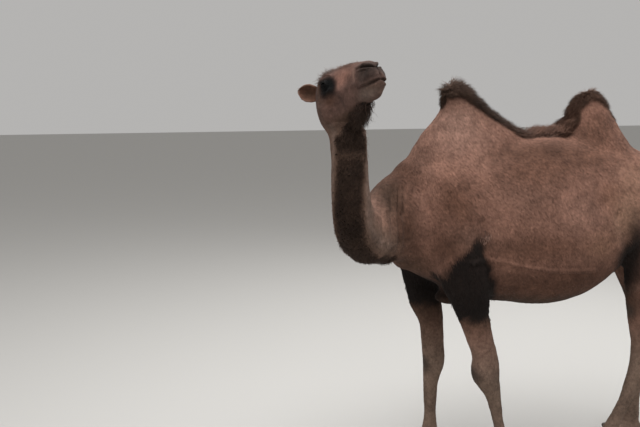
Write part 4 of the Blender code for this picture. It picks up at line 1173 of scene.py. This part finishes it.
def fuse_skin():
    """Points and triangles of the shapes fused into one, finer by the face and fitted to the head."""
    block = scratch("skin_block", *shells(body_grids()))
    remesh = block.modifiers.new("fuse", "REMESH")
    remesh.mode = "VOXEL"
    remesh.voxel_size = VOXEL
    soften(block)
    mesh = settled(block)
    for zone in (first_zone, face_zone, feature_zone, lid_zone):
        refine(mesh, zone)
    block.modifiers.clear()
    block.data = mesh

    points, _ = arrays_of(mesh)
    place = to_head(points)
    hold = step(place[:, 0], 0.06, 0.12) * step(place[:, 2] + 0.16, 0.0, 0.05) * face_zone(points)
    group = block.vertex_groups.new(name="face")
    for level in range(1, 9):
        group.add(np.flatnonzero(np.round(hold * 8) == level).tolist(), level / 8, "REPLACE")
    model = scratch("head_model", *shells([from_head(head_grid(260, 200))]))
    soften(block)
    wrap = block.modifiers.new("fit", "SHRINKWRAP")
    wrap.target = model
    wrap.vertex_group = "face"
    fused = arrays_of(settled(block))
    for used in (block, model):
        bpy.data.objects.remove(used, do_unlink=True)
    return fused


def skin_relief(points, region):
    """The height of the skin's folds, veins and fine unevenness."""
    place, plane = mirrored(to_head(points)), points[:, [0, 2]]
    z, left = points[:, 2], -points[:, 1]
    face = (region == ON_HEAD) & (place[:, 0] > 0.05)
    outside = (region != ON_HEAD) & (region != ON_NECK) & ((z > 0.75) | (left > 0))
    height = np.where(face, relief(place, FACE_STROKES), 0)
    height += relief(plane, BODY_STROKES) * outside * step(np.abs(left), 0.08, 0.14)
    window = step(z, 1.13, 1.22) * (1 - step(z, 1.42, 1.52)) * step(left, 0.06, 0.12)
    height += relief(plane, NECK_FOLDS) * window * (region != ON_HEAD)
    pores, unevenness = noise(points, 0.006, seed=61), noise(points, 0.05, seed=62)
    return height + np.where(face, 0.0006 * pores, 0.0022 * unevenness)


def build_skin():
    """The fused skin, laid in by the coat's depth, with its relief, lids and ears, and its lie and tint."""
    points, triangles = fuse_skin()
    normals = point_normals(points, triangles)
    region, ring, share = regions_of(points)
    points = points - coat_depth(points, region, ring, share)[:, None] * normals
    points = shape_lids(points + skin_relief(points, region)[:, None] * normals)
    points[:, 2] = np.maximum(points[:, 2], 0.0)

    ears, ear_triangles = shells([ear_grid(side) for side in (1, -1)])
    first = len(points)
    points = np.concatenate([points, ears])
    triangles = np.concatenate([triangles, ear_triangles + first])
    is_ear = np.arange(len(points)) >= first
    normals = point_normals(points, triangles)
    region, ring, share = regions_of(points)
    lie = lie_of_coat(points, normals, region, ring, share)
    region[is_ear] = ON_HEAD
    tint = coat_tint(points, region, ring, share)
    local, inner, toward_tip = ear_places(points)
    tint[is_ear] = ear_tint(local, inner)[is_ear]
    lie[is_ear] = unit(square_to(toward_tip, normals))[is_ear]
    region[is_ear] = ON_EAR
    areas = 0.5 * np.linalg.norm(face_normals(points, triangles), axis=1)
    return Skin(points, normals, triangles, areas, region, ring, lie, tint)


def ear_places(points):
    """Each point in its ear's own axes, how far it is in the cup, and the way to the ear's tip."""
    place = to_head(points)
    local, toward = np.zeros_like(points), np.zeros_like(points)
    for side in (1, -1):
        root, axes = ear_frame(side)
        mine = np.sign(place[:, 1]) == side
        local[mine] = (place[mine] - root) @ axes.T
        toward[mine] = way_from_head(axes[2])
    half = ear_half_width(ear_share(local))
    outer = 0.75 * half * (1 - np.clip(local[:, 0] / half, -1, 1) ** 2)
    inner = step(outer - local[:, 1], 0.0012, 0.0030)
    return local, inner, toward


def ear_tint(local, inner):
    """Brown outside, reddish in the cup, darker in its deep middle as painted shade, and a pale rim."""
    colour = mixed(np.tile(BROWN, (len(local), 1)), DUN, inner)
    # Painted shade in the deepest middle of the cup
    hollow_shade = inner * np.exp(-((local[:, 0] / 0.024) ** 2) - ((local[:, 2] - 0.026) / 0.028) ** 2)
    colour = mixed(colour, DARK_BROWN, 0.85 * hollow_shade)
    along = ear_share(local)
    rim = step(np.abs(local[:, 0]) / ear_half_width(along), 0.80, 0.97) * step(along, 0.25, 0.4)
    return mixed(colour, PALE, 0.8 * np.maximum(rim, step(along, 0.90, 0.98)))


# ---------------------------------------------------------------- the coat

TUFT_FACES = np.array([(0, 1, 3), (0, 3, 2), (1, 2, 3), (0, 2, 1)])
TUFT_PATCH = PATCH * np.array([(-0.5, -0.5), (0.5, -0.5), (0.0, -0.2), (0.0, 0.5)])


def rooted(skin, weight, seed):
    """Random roots on the skin, where weight is their number on a square metre."""
    rng = np.random.default_rng(seed)
    share = skin.areas * weight[skin.triangles].mean(1)
    count = int(share.sum())
    picks = rng.choice(len(share), count, p=share / share.sum())
    u, v = rng.random((2, count))
    over = u + v > 1
    u, v = np.where(over, 1 - u, u), np.where(over, 1 - v, v)
    mix = np.stack([1 - u - v, u, v], -1)[..., None]
    corner = skin.triangles[picks]
    first = corner[:, 0]
    normals = unit((skin.normals[corner] * mix).sum(1))
    lie = unit(square_to((skin.lie[corner] * mix).sum(1), normals))
    points, tint = (skin.points[corner] * mix).sum(1), (skin.tint[corner] * mix).sum(1)
    return Roots(points, normals, lie, tint, skin.region[first], skin.ring[first]), rng


def unwrap(roots, regions):
    """Each root's place on an unwrap of the skin: how far along its region's loft, and the angle round it.

    Each region has a column of its own. The ears use their own flat shape, with a quarter for each face.
    """
    places = np.zeros((len(roots.points), 2))
    for column, region in enumerate(regions):
        mine = roots.region == region
        points, ring = roots.points[mine], roots.ring[mine]
        if region == ON_EAR:
            local, inner, _ = ear_places(points)
            side = to_head(points)[:, 1] > 0
            along = (0.5 + local[:, 0] / EAR_WIDTH + side) / 2
            round_it = (ear_share(local) + (inner > 0.5)) / 2
        else:
            item = LOFTS[region]
            outward = points - item.centre[ring]
            spacing = np.linalg.norm(np.gradient(item.centre, axis=0), axis=1)[ring]
            along = (ring + (outward * item.along[ring]).sum(1) / spacing) / len(item.centre)
            round_it = np.arctan2((outward * item.beside[ring]).sum(1), (outward * item.facing[ring]).sum(1))
            round_it = round_it / (2 * math.pi) + 0.5
        places[mine, 0] = (column + 0.02 + 0.96 * np.clip(along, 0, 1)) / len(regions)
        places[mine, 1] = 0.02 + 0.96 * np.clip(round_it, 0, 1)
    return places


def unwrap_humps(roots):
    """Each root's place on the humps' flanks: along the back and up, the left flank below the right one."""
    right = roots.points[:, 1] > 0
    along = np.clip((roots.points[:, 0] + 1.0) / 1.7, 0, 1)
    up = np.clip((roots.points[:, 2] - 1.40) / 0.60, 0, 1)
    return np.stack([0.02 + 0.96 * along, 0.01 + 0.49 * up + 0.49 * right], -1)


def hairs(name, points, faces, tint, shaded, places, patch, material, slot):
    """A piece of many like hairs: the points, tints and normals of each, and its patch of the OFBake map."""
    count, rows = points.shape[:2]
    triangles = (faces[None] + rows * np.arange(count)[:, None, None]).reshape(-1, 3)
    made = mesh_piece(name, points.reshape(-1, 3), triangles, material, slot)
    give_tint(made, np.clip(tint, 0.003, 0.9).reshape(-1, 3))
    give_normals(made, shaded.reshape(-1, 3))
    give_patches(made, triangles, (places[:, None] + patch).reshape(-1, 2))


def tufts(name, roots, rng, length, width, lift, places, material, slot):
    """Short closed tufts: a three-cornered root, and a tip at root + lie * length + normal * lift."""
    count = len(roots.points)
    size = (length * rng.uniform(0.7, 1.25, count))[:, None]
    sway = rng.normal(0, 0.22, count)[:, None]
    side = np.cross(roots.normals, roots.lie)
    way = unit(roots.lie + sway * side)
    side = np.cross(roots.normals, way)
    half = (0.5 * width * rng.uniform(0.75, 1.3, count))[:, None]
    base = roots.points - 0.0006 * roots.normals
    top = base + 0.6 * half * roots.normals + 0.12 * size * way
    tip = base + size * way + (lift[:, None] * rng.uniform(0.4, 1.5, (count, 1))) * roots.normals
    points = np.stack([base - half * side, base + half * side, top, tip], 1)
    inward = np.linalg.det(points[:, 1:] - points[:, :1]) < 0
    points[inward] = points[inward][:, [1, 0, 2, 3]]
    side = np.where(inward[:, None], -side, side)
    lean = unit(roots.normals + rng.normal(0, 0.16, (count, 3)))
    shaded = np.stack([unit(lean - 0.35 * side), unit(lean + 0.35 * side), lean, unit(lean + 0.25 * way)], 1)
    # Each tuft's brightness varies at random; its root corners are darker, as painted shade deep in the coat,
    # and its tip paler
    bright = rng.normal(1.0, 0.15, count)[:, None, None] * np.array([0.90, 0.90, 0.97, 1.10])[:, None]
    hairs(name, points, TUFT_FACES, roots.tint[:, None] * bright, shaded, places, TUFT_PATCH, material, slot)


def lock_faces(rings):
    """Triangles of one lock: its root, the three walls of each stretch, and its tip."""
    faces = [(0, 1, 2)]
    for j in range(rings - 2):
        for k in range(3):
            a, b = 3 * j + k, 3 * j + (k + 1) % 3
            faces += [(a, b + 3, b), (a, a + 3, b + 3)]
    last = 3 * (rings - 2)
    faces += [(last + (k + 1) % 3, last + k, last + 3) for k in range(3)]
    return np.array(faces)


def lock_patch(rings):
    """The place of each of a lock's points in its patch: rings of three from the foot to the tip."""
    across = np.append(np.tile([0.0, -0.5, 0.5], rings - 1), 0.0)
    middle = np.append(np.tile([0.08, 0, 0], rings - 1), 0)
    up = np.append(np.repeat(np.linspace(-0.5, 0.3, rings - 1), 3), 0.5) + middle
    return PATCH * np.stack([across, np.clip(up, -0.5, 0.5)], -1)


def locks(name, roots, rng, length, form, places, material, slot):
    """Long closed locks: three-sided tubes that taper along a bent path.

    Each stretch heads along lie + lift * normal, which gives way to droop * down, plus a curl by wave that
    turns round the path. Each lock strays from its neighbours.
    """
    count, stretches = len(roots.points), form.rings - 1
    size = length * rng.uniform(0.65, 1.25, count)
    half = 0.5 * form.width * rng.uniform(0.7, 1.3, count)
    phase = rng.uniform(0, 2 * math.pi, count)
    spin = 2 * math.pi * form.turns * rng.uniform(0.7, 1.3, count)
    side = np.cross(roots.normals, roots.lie)
    wander = rng.normal(0, form.stray, (count, 3))
    at = roots.points - 0.001 * roots.normals
    points, shaded = [], []
    profile = np.interp(np.linspace(0, 1, form.rings), [0, 0.3, 0.7, 1], [0.8, 1.0, 0.62, 0.0])
    for j in range(form.rings):
        t = j / stretches
        turn = (phase + spin * t)[:, None]
        curl = form.wave * (np.cos(turn) * side + np.sin(turn) * roots.normals)
        lifted = roots.lie + form.lift * (1 - 0.6 * t) * roots.normals
        heading = unit(lifted + form.droop * t * DOWN + wander + curl)
        if j == stretches:
            points.append(at)
            shaded.append(unit(roots.normals + heading))
            continue
        flat = unit(np.cross(heading, roots.normals + 0.01))
        over = np.cross(flat, heading)
        for k in range(3):
            angle = 2 * math.pi * k / 3 + math.pi / 2
            out = math.cos(angle) * flat + 0.6 * math.sin(angle) * over
            points.append(at + (profile[j] * half)[:, None] * out)
            shaded.append(unit(0.75 * out + roots.normals))
        at = at + heading * (size / stretches)[:, None]
    points, shaded = np.stack(points, 1), np.stack(shaded, 1)
    # Each lock darkens towards its root, as painted shade deep in the coat, and is paler towards its tip
    depth = np.append(np.repeat(np.linspace(0.60, 1.10, stretches), 3), 1.25)[None, :, None]
    bright = rng.normal(1.0, 0.16, count)[:, None, None]
    tint = roots.tint[:, None] * bright * depth
    hairs(name, points, lock_faces(form.rings), tint, shaded, places, lock_patch(form.rings), material, slot)


def coat_sizes(points, region):
    """The length of each place's short tufts, and how many grow on a square metre."""
    face = (region == ON_HEAD) * step(to_head(points)[:, 0], 0.05, 0.36)
    length = TUFT_LENGTHS[region] * (1 - 0.55 * face)
    density = TUFT_DENSITIES[region] * (1 + 0.5 * face)
    foot = on_legs(region) * (1 - step(points[:, 2], 0.08, 0.22))
    return length * (1 - 0.4 * foot), density * (1 + 0.9 * foot)


def bare(points, region):
    """Where nothing grows: in the eye's opening, the nostrils and the mouth, and under the feet."""
    place = mirrored(to_head(points))
    relative = place - EYE_AT
    u, v = relative @ EYE_ALONG, relative @ EYE_UP
    opening = (np.abs(u) < OPENING + 0.003) & (np.abs(v) < opening_height(u, v > 0) + 0.0025)
    slits = np.minimum(distance_to_path(place, NOSTRIL), distance_to_path(place, UNDER_NOSTRIL)) < 0.006
    in_head = (region == ON_HEAD) & (opening | slits) & (np.linalg.norm(relative, axis=1) < 0.4)
    return in_head | (points[:, 2] < 0.010)


def back_length(points):
    """The length of the back's long hair."""
    return np.maximum(ridge_length(points), BACK_HAIR_LEAST)


def beard_length(points):
    """The length of the beard's locks, shorter behind the jaw and on the chin."""
    ahead = to_head(points)[:, 0]
    return 0.026 + 0.048 * step(ahead, 0.10, 0.18) * (1 - 0.6 * step(ahead, 0.31, 0.38))


def tail_length(points):
    """The length of the tail's locks, longer towards its end."""
    return 0.045 + 0.035 * (1 - step(points[:, 2], 0.95, 1.15))


def crown_length(points):
    """The length of the locks of the crown, and of the short hair down the bridge of the nose."""
    return np.interp(to_head(points)[:, 0], [0.10, 0.20, 0.28, 0.36], [0.034, 0.022, 0.012, 0.008])


def grow_locks(name, skin, weight, length, regions, material, slot="dark_hair", tint=None):
    """The locks of one piece. weight says where they grow, and length is a number or a function of places."""
    seed, density, form = LOCKS[name]
    roots, rng = rooted(skin, density * weight, seed)
    if tint:
        roots = roots._replace(tint=np.tile(tint, (len(roots.points), 1)))
    size = length(roots.points) if callable(length) else length
    places = unwrap(roots, regions) if regions else unwrap_humps(roots)
    locks(name, roots, rng, size, form, places, material, slot)


def grow_tufts(skin, grows, coat):
    """The short coat, piece by piece."""
    region, left = skin.region, skin.points[:, 1] < 0
    hump = (region == ON_TRUNK) & (skin.points[:, 2] > 1.60)
    forelegs, hindlegs = (ON_FORE_NEAR, ON_FORE_FAR), (ON_HIND_NEAR, ON_HIND_FAR)
    pieces = [
        ("coat_trunk_left", "coat", (ON_TRUNK,), (region == ON_TRUNK) & left & ~hump),
        ("coat_trunk_right", "coat", (ON_TRUNK,), (region == ON_TRUNK) & ~left & ~hump),
        ("coat_humps", "coat", None, hump),
        ("coat_neck", "coat", (ON_NECK,), region == ON_NECK),
        ("coat_head", "coat", (ON_HEAD,), region == ON_HEAD),
        ("coat_ears", "coat", (ON_EAR,), region == ON_EAR),
        ("coat_forelegs", "pale_leg", forelegs, np.isin(region, forelegs)),
        ("coat_hindlegs", "pale_leg", hindlegs, np.isin(region, hindlegs)),
    ]
    for seed, (name, slot, regions, where) in enumerate(pieces, TUFT_SEED):
        roots, rng = rooted(skin, grows * where, seed)
        size, _ = coat_sizes(roots.points, roots.region)
        places = unwrap(roots, regions) if regions else unwrap_humps(roots)
        tufts(name, roots, rng, size, 0.25 * size, 0.10 * size, places, coat, slot)


def grow_coat(skin, coat, hair):
    """All tufts and locks, piece by piece."""
    points, region = skin.points, skin.region
    covered = ~bare(points, region)
    ridge = ridge_length(points)
    throat = throat_share(points, region, skin.ring)
    long_hair = np.maximum(step(ridge, 0.006, 0.02), throat * (region == ON_NECK))
    _, density = coat_sizes(points, region)
    grow_tufts(skin, density * covered * (1 - 0.75 * long_hair), coat)

    crest = step(ridge, 0.004, 0.02) * (region == ON_TRUNK)
    grow_locks("hair_back", skin, crest, back_length, None, hair)
    roots, rng = rooted(skin, FUZZ_DENSITY * crest, FUZZ_SEED)
    size = 0.75 * back_length(roots.points)
    tufts("fuzz_back", roots, rng, size, FUZZ_WIDTH, 0.75 * size, unwrap_humps(roots), hair, "dark_hair")

    beard = throat * np.where(region == ON_NECK, step(points[:, 2], 1.70, 1.76), 1.0)
    grow_locks("hair_throat", skin, (throat - beard) * (region == ON_NECK), THROAT_HAIR, (ON_NECK,), hair)
    grow_locks("hair_beard", skin, beard, beard_length, (ON_NECK, ON_HEAD), hair)

    arms = forearm_share(points, region) * covered
    grow_locks("hair_forearms", skin, arms, SIDE_HAIR, (ON_TRUNK, ON_FORE_NEAR, ON_FORE_FAR), hair)
    flank = blob(mirrored(points), (0.26, 0.24, 1.06), (0.075, 0.25, 0.15))
    flank = flank * (flank > 0.3)
    grow_locks("hair_flanks", skin, flank, SIDE_HAIR, (ON_TRUNK, ON_HIND_NEAR, ON_HIND_FAR), hair)
    grow_locks("hair_tail", skin, 1.0 * (region == ON_TAIL), tail_length, (ON_TAIL,), hair)
    place = to_head(points)
    crown = blob(place, (0.095, 0.0, 0.125), (0.110, 0.050, 0.035))
    bridge = blob(place, (0.270, 0.0, 0.100), (0.100, 0.030, 0.040))
    face = (7 * crown + 9 * bridge) * (region == ON_HEAD)
    grow_locks("hair_crown", skin, face, crown_length, (ON_HEAD,), hair)
    curl = blob(points, (-0.521, -0.283, 1.232), (0.010, 0.060, 0.022))
    grow_locks("moult_curl", skin, curl, CURL_HAIR, (ON_TRUNK, ON_FORE_NEAR), hair, "coat", PALE)


# ---------------------------------------------------------------- eyes, lashes and nails


def add_eyes(eye, lash):
    """Each eyeball is a ball with a dark iris, a long level pupil and lashes rooted along its upper lid."""
    for name, side in (("left", -1), ("right", 1)):
        local = unit_ball(0.01, 40, 56)
        bulge = 1 + 0.05 * step(local[..., 2], 0.80, 0.95)
        folded = EYE_AT + EYE_RADIUS * (bulge[..., None] * local) @ np.array((EYE_ALONG, EYE_UP, EYE_OUT))
        points, triangles = shells([from_head(folded * (1, -side, 1))])
        ball_eye = mesh_piece(f"eyeball_{name}", points, triangles, eye, "eye", f"eye_{name}")
        iris = np.append(step(local[..., 2].ravel(), 0.62, 0.70), [1.0, 0.0])
        pupil = (local[..., 0] / 0.42) ** 2 + (local[..., 1] / 0.20) ** 2
        pupil = np.append(1 - step(np.where(local[..., 2] > 0, pupil, 9).ravel(), 0.9, 1.1), [1.0, 0.0])
        give_tint(ball_eye, mixed(np.array(EYE_WHITE), IRIS, iris) * (1 - 0.9 * pupil[:, None]))
        add_lashes(f"lashes_{name}", side, lash)


def add_lashes(name, side, lash):
    """Curved lashes from the upper lid's edge: out from the ball, forward with their place, and bent down."""
    rng, count = np.random.default_rng(LASH_SEED + side), LASH_COUNT
    u = np.linspace(-0.92, 0.92, count) * OPENING + rng.normal(0, 0.0003, count)
    v = opening_height(u, True) + 0.0008
    w = np.sqrt(np.clip(LID_RADIUS**2 - u**2 - v**2, 1e-9, None))
    at = from_head(from_eye(u, v, w) * (1, -side, 1))
    way = unit(EYE_OUT + 0.45 * EYE_UP + (22 * u)[:, None] * EYE_ALONG)
    turned = way_from_head(way * (1, -side, 1))
    normal = way_from_head(np.tile(EYE_UP * (1, -side, 1), (count, 1)))
    zeros = np.zeros(count, int)
    roots = Roots(at, unit(normal), unit(turned), np.tile(BLACK, (count, 1)), zeros, zeros)
    places = np.stack([0.1 + 0.8 * np.linspace(0, 1, count), np.full(count, 0.5)], -1)
    locks(name, roots, rng, LASH_LENGTH, LASH, places, lash, "dark_hair")


def add_nails(nail):
    """A blunt horn cap over the tip of each toe, with a flat lower side just off the floor."""
    for leg, (x, y, half) in FEET.items():
        for side, place in ((-1, "left"), (1, "right")):
            middle = np.array((x - half * 0.92, y + side * 0.046, 0.0225))
            grid = ball(middle, NAIL, (0, 20, 0), 20, 28)
            forward = np.clip((middle[0] - grid[..., 0]) / NAIL[0], 0, 1)
            grid[..., 1] = middle[1] + (grid[..., 1] - middle[1]) * (1 - 0.22 * forward)
            grid[..., 2] = np.maximum(grid[..., 2], NAIL_FLOOR)
            points, triangles = shells([grid])
            node = f"{leg}_toenail_{place}"
            mesh_piece(f"horn_{node}", points, triangles, nail, "nail", node)


# ---------------------------------------------------------------- finishes


def put(node, **values):
    """Sets inputs of the node, whose names are written with _ for each space."""
    for name, value in values.items():
        node.inputs[name.replace("_", " ")].default_value = value


def shader_of(name):
    """A new material and the nodes, links and shader that it starts with."""
    made = bpy.data.materials.new(name)
    made.use_nodes = True
    nodes, links = made.node_tree.nodes, made.node_tree.links
    return made, nodes, links, nodes["Principled BSDF"]


def tint_of(nodes):
    """The colour that each point keeps."""
    tint = nodes.new("ShaderNodeAttribute")
    tint.attribute_name = "tint"
    return tint.outputs["Color"]


def tinted(name, roughness, sheen, grain, grain_size, specular):
    """Hair or skin: each point's own tint, broken up by a fine grain in the object's space."""
    made, nodes, links, shader = shader_of(name)
    tint = tint_of(nodes)
    place = nodes.new("ShaderNodeTexCoord")
    speckle = nodes.new("ShaderNodeTexNoise")
    put(speckle, Scale=1 / grain_size, Detail=3.0)
    spread = nodes.new("ShaderNodeMapRange")
    put(spread, From_Min=0.25, From_Max=0.75, To_Min=1 - grain, To_Max=1 + grain)
    mix = nodes.new("ShaderNodeVectorMath")
    mix.operation = "SCALE"
    links.new(place.outputs["Object"], speckle.inputs["Vector"])
    links.new(speckle.outputs["Fac"], spread.inputs["Value"])
    links.new(tint, mix.inputs[0])
    links.new(spread.outputs["Result"], mix.inputs["Scale"])
    links.new(mix.outputs["Vector"], shader.inputs["Base Color"])
    put(shader, Roughness=roughness, Specular_IOR_Level=specular, Sheen_Weight=sheen, Sheen_Roughness=0.5)
    return made, nodes, links, shader, place


def skin_finish():
    """Short flat fur over the skin: the tinted finish with a fine bump."""
    made, nodes, links, shader, place = tinted("short_fur", 0.88, 0.02, 0.26, 0.014, 0.12)
    fine = nodes.new("ShaderNodeTexNoise")
    put(fine, Scale=420.0, Detail=2.0)
    bump = nodes.new("ShaderNodeBump")
    put(bump, Strength=0.55, Distance=0.002)
    links.new(place.outputs["Object"], fine.inputs["Vector"])
    links.new(fine.outputs["Fac"], bump.inputs["Height"])
    links.new(bump.outputs["Normal"], shader.inputs["Normal"])
    return made


def eye_finish():
    """Dark wet eye: its own tint under a clear gloss."""
    made, nodes, links, shader = shader_of("wet_eye")
    links.new(tint_of(nodes), shader.inputs["Base Color"])
    put(shader, Roughness=0.06, Specular_IOR_Level=0.10)
    return made


def nail_finish():
    """Dull dark horn."""
    made, _, _, shader = shader_of("horn")
    put(shader, Base_Color=(0.075, 0.060, 0.048, 1), Roughness=0.5)
    return made


# ---------------------------------------------------------------- stage


def add_stage():
    """A pale floor, soft light from above and the sides, and the camera."""
    scene = bpy.context.scene
    bpy.ops.mesh.primitive_plane_add(size=60, location=(0, 0, -0.0005))
    floor = bpy.context.object
    floor.name = "floor"
    pale, _, _, shader = shader_of("pale_floor")
    put(shader, Base_Color=(0.52, 0.51, 0.49, 1), Roughness=0.9)
    floor.data.materials.append(pale)
    world = bpy.data.worlds.new("studio")
    world.use_nodes = True
    put(world.node_tree.nodes["Background"], Color=(1.0, 0.985, 0.965, 1), Strength=0.46)
    scene.world = world
    for name, place, size, power in LIGHTS:
        light = bpy.data.objects.new(name, bpy.data.lights.new(name, "AREA"))
        light.data.size = size
        light.data.energy = power
        light.location = place
        light.rotation_euler = (LIGHTS_AIM - Vector(place)).to_track_quat("-Z", "Y").to_euler()
        scene.collection.objects.link(light)
    level = Vector((-math.sin(CAMERA_SWING), math.cos(CAMERA_SWING), 0))
    right = Vector((math.cos(CAMERA_SWING), math.sin(CAMERA_SWING), 0))
    ahead = level * math.cos(CAMERA_DIP) - UP * math.sin(CAMERA_DIP)
    turn = Matrix((right, right.cross(ahead), -ahead)).transposed()
    camera = bpy.data.objects.new("camera", bpy.data.cameras.new("camera"))
    camera.data.lens = 50
    camera.data.sensor_width = 36
    camera.matrix_world = Matrix.Translation(CAMERA_AT + Vector(SHIFT)) @ turn.to_4x4()
    scene.collection.objects.link(camera)
    scene.camera = camera
    scene.view_settings.view_transform = "Standard"


def build():
    """Everything: the skin, its coat, the eyes, the nails and the stage."""
    skin = build_skin()
    flesh = [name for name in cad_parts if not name.startswith("eye") and "toenail" not in name]
    body = mesh_piece("skin", skin.points, skin.triangles, skin_finish(), "coat", *flesh)
    give_tint(body, skin.tint)
    coat = tinted("coat", 0.85, 0.03, 0.26, 0.014, 0.12)[0]
    hair = tinted("long_hair", 0.70, 0.02, 0.15, 0.010, 0.15)[0]
    grow_coat(skin, coat, hair)
    add_eyes(eye_finish(), hair)
    add_nails(nail_finish())
    add_stage()


build()
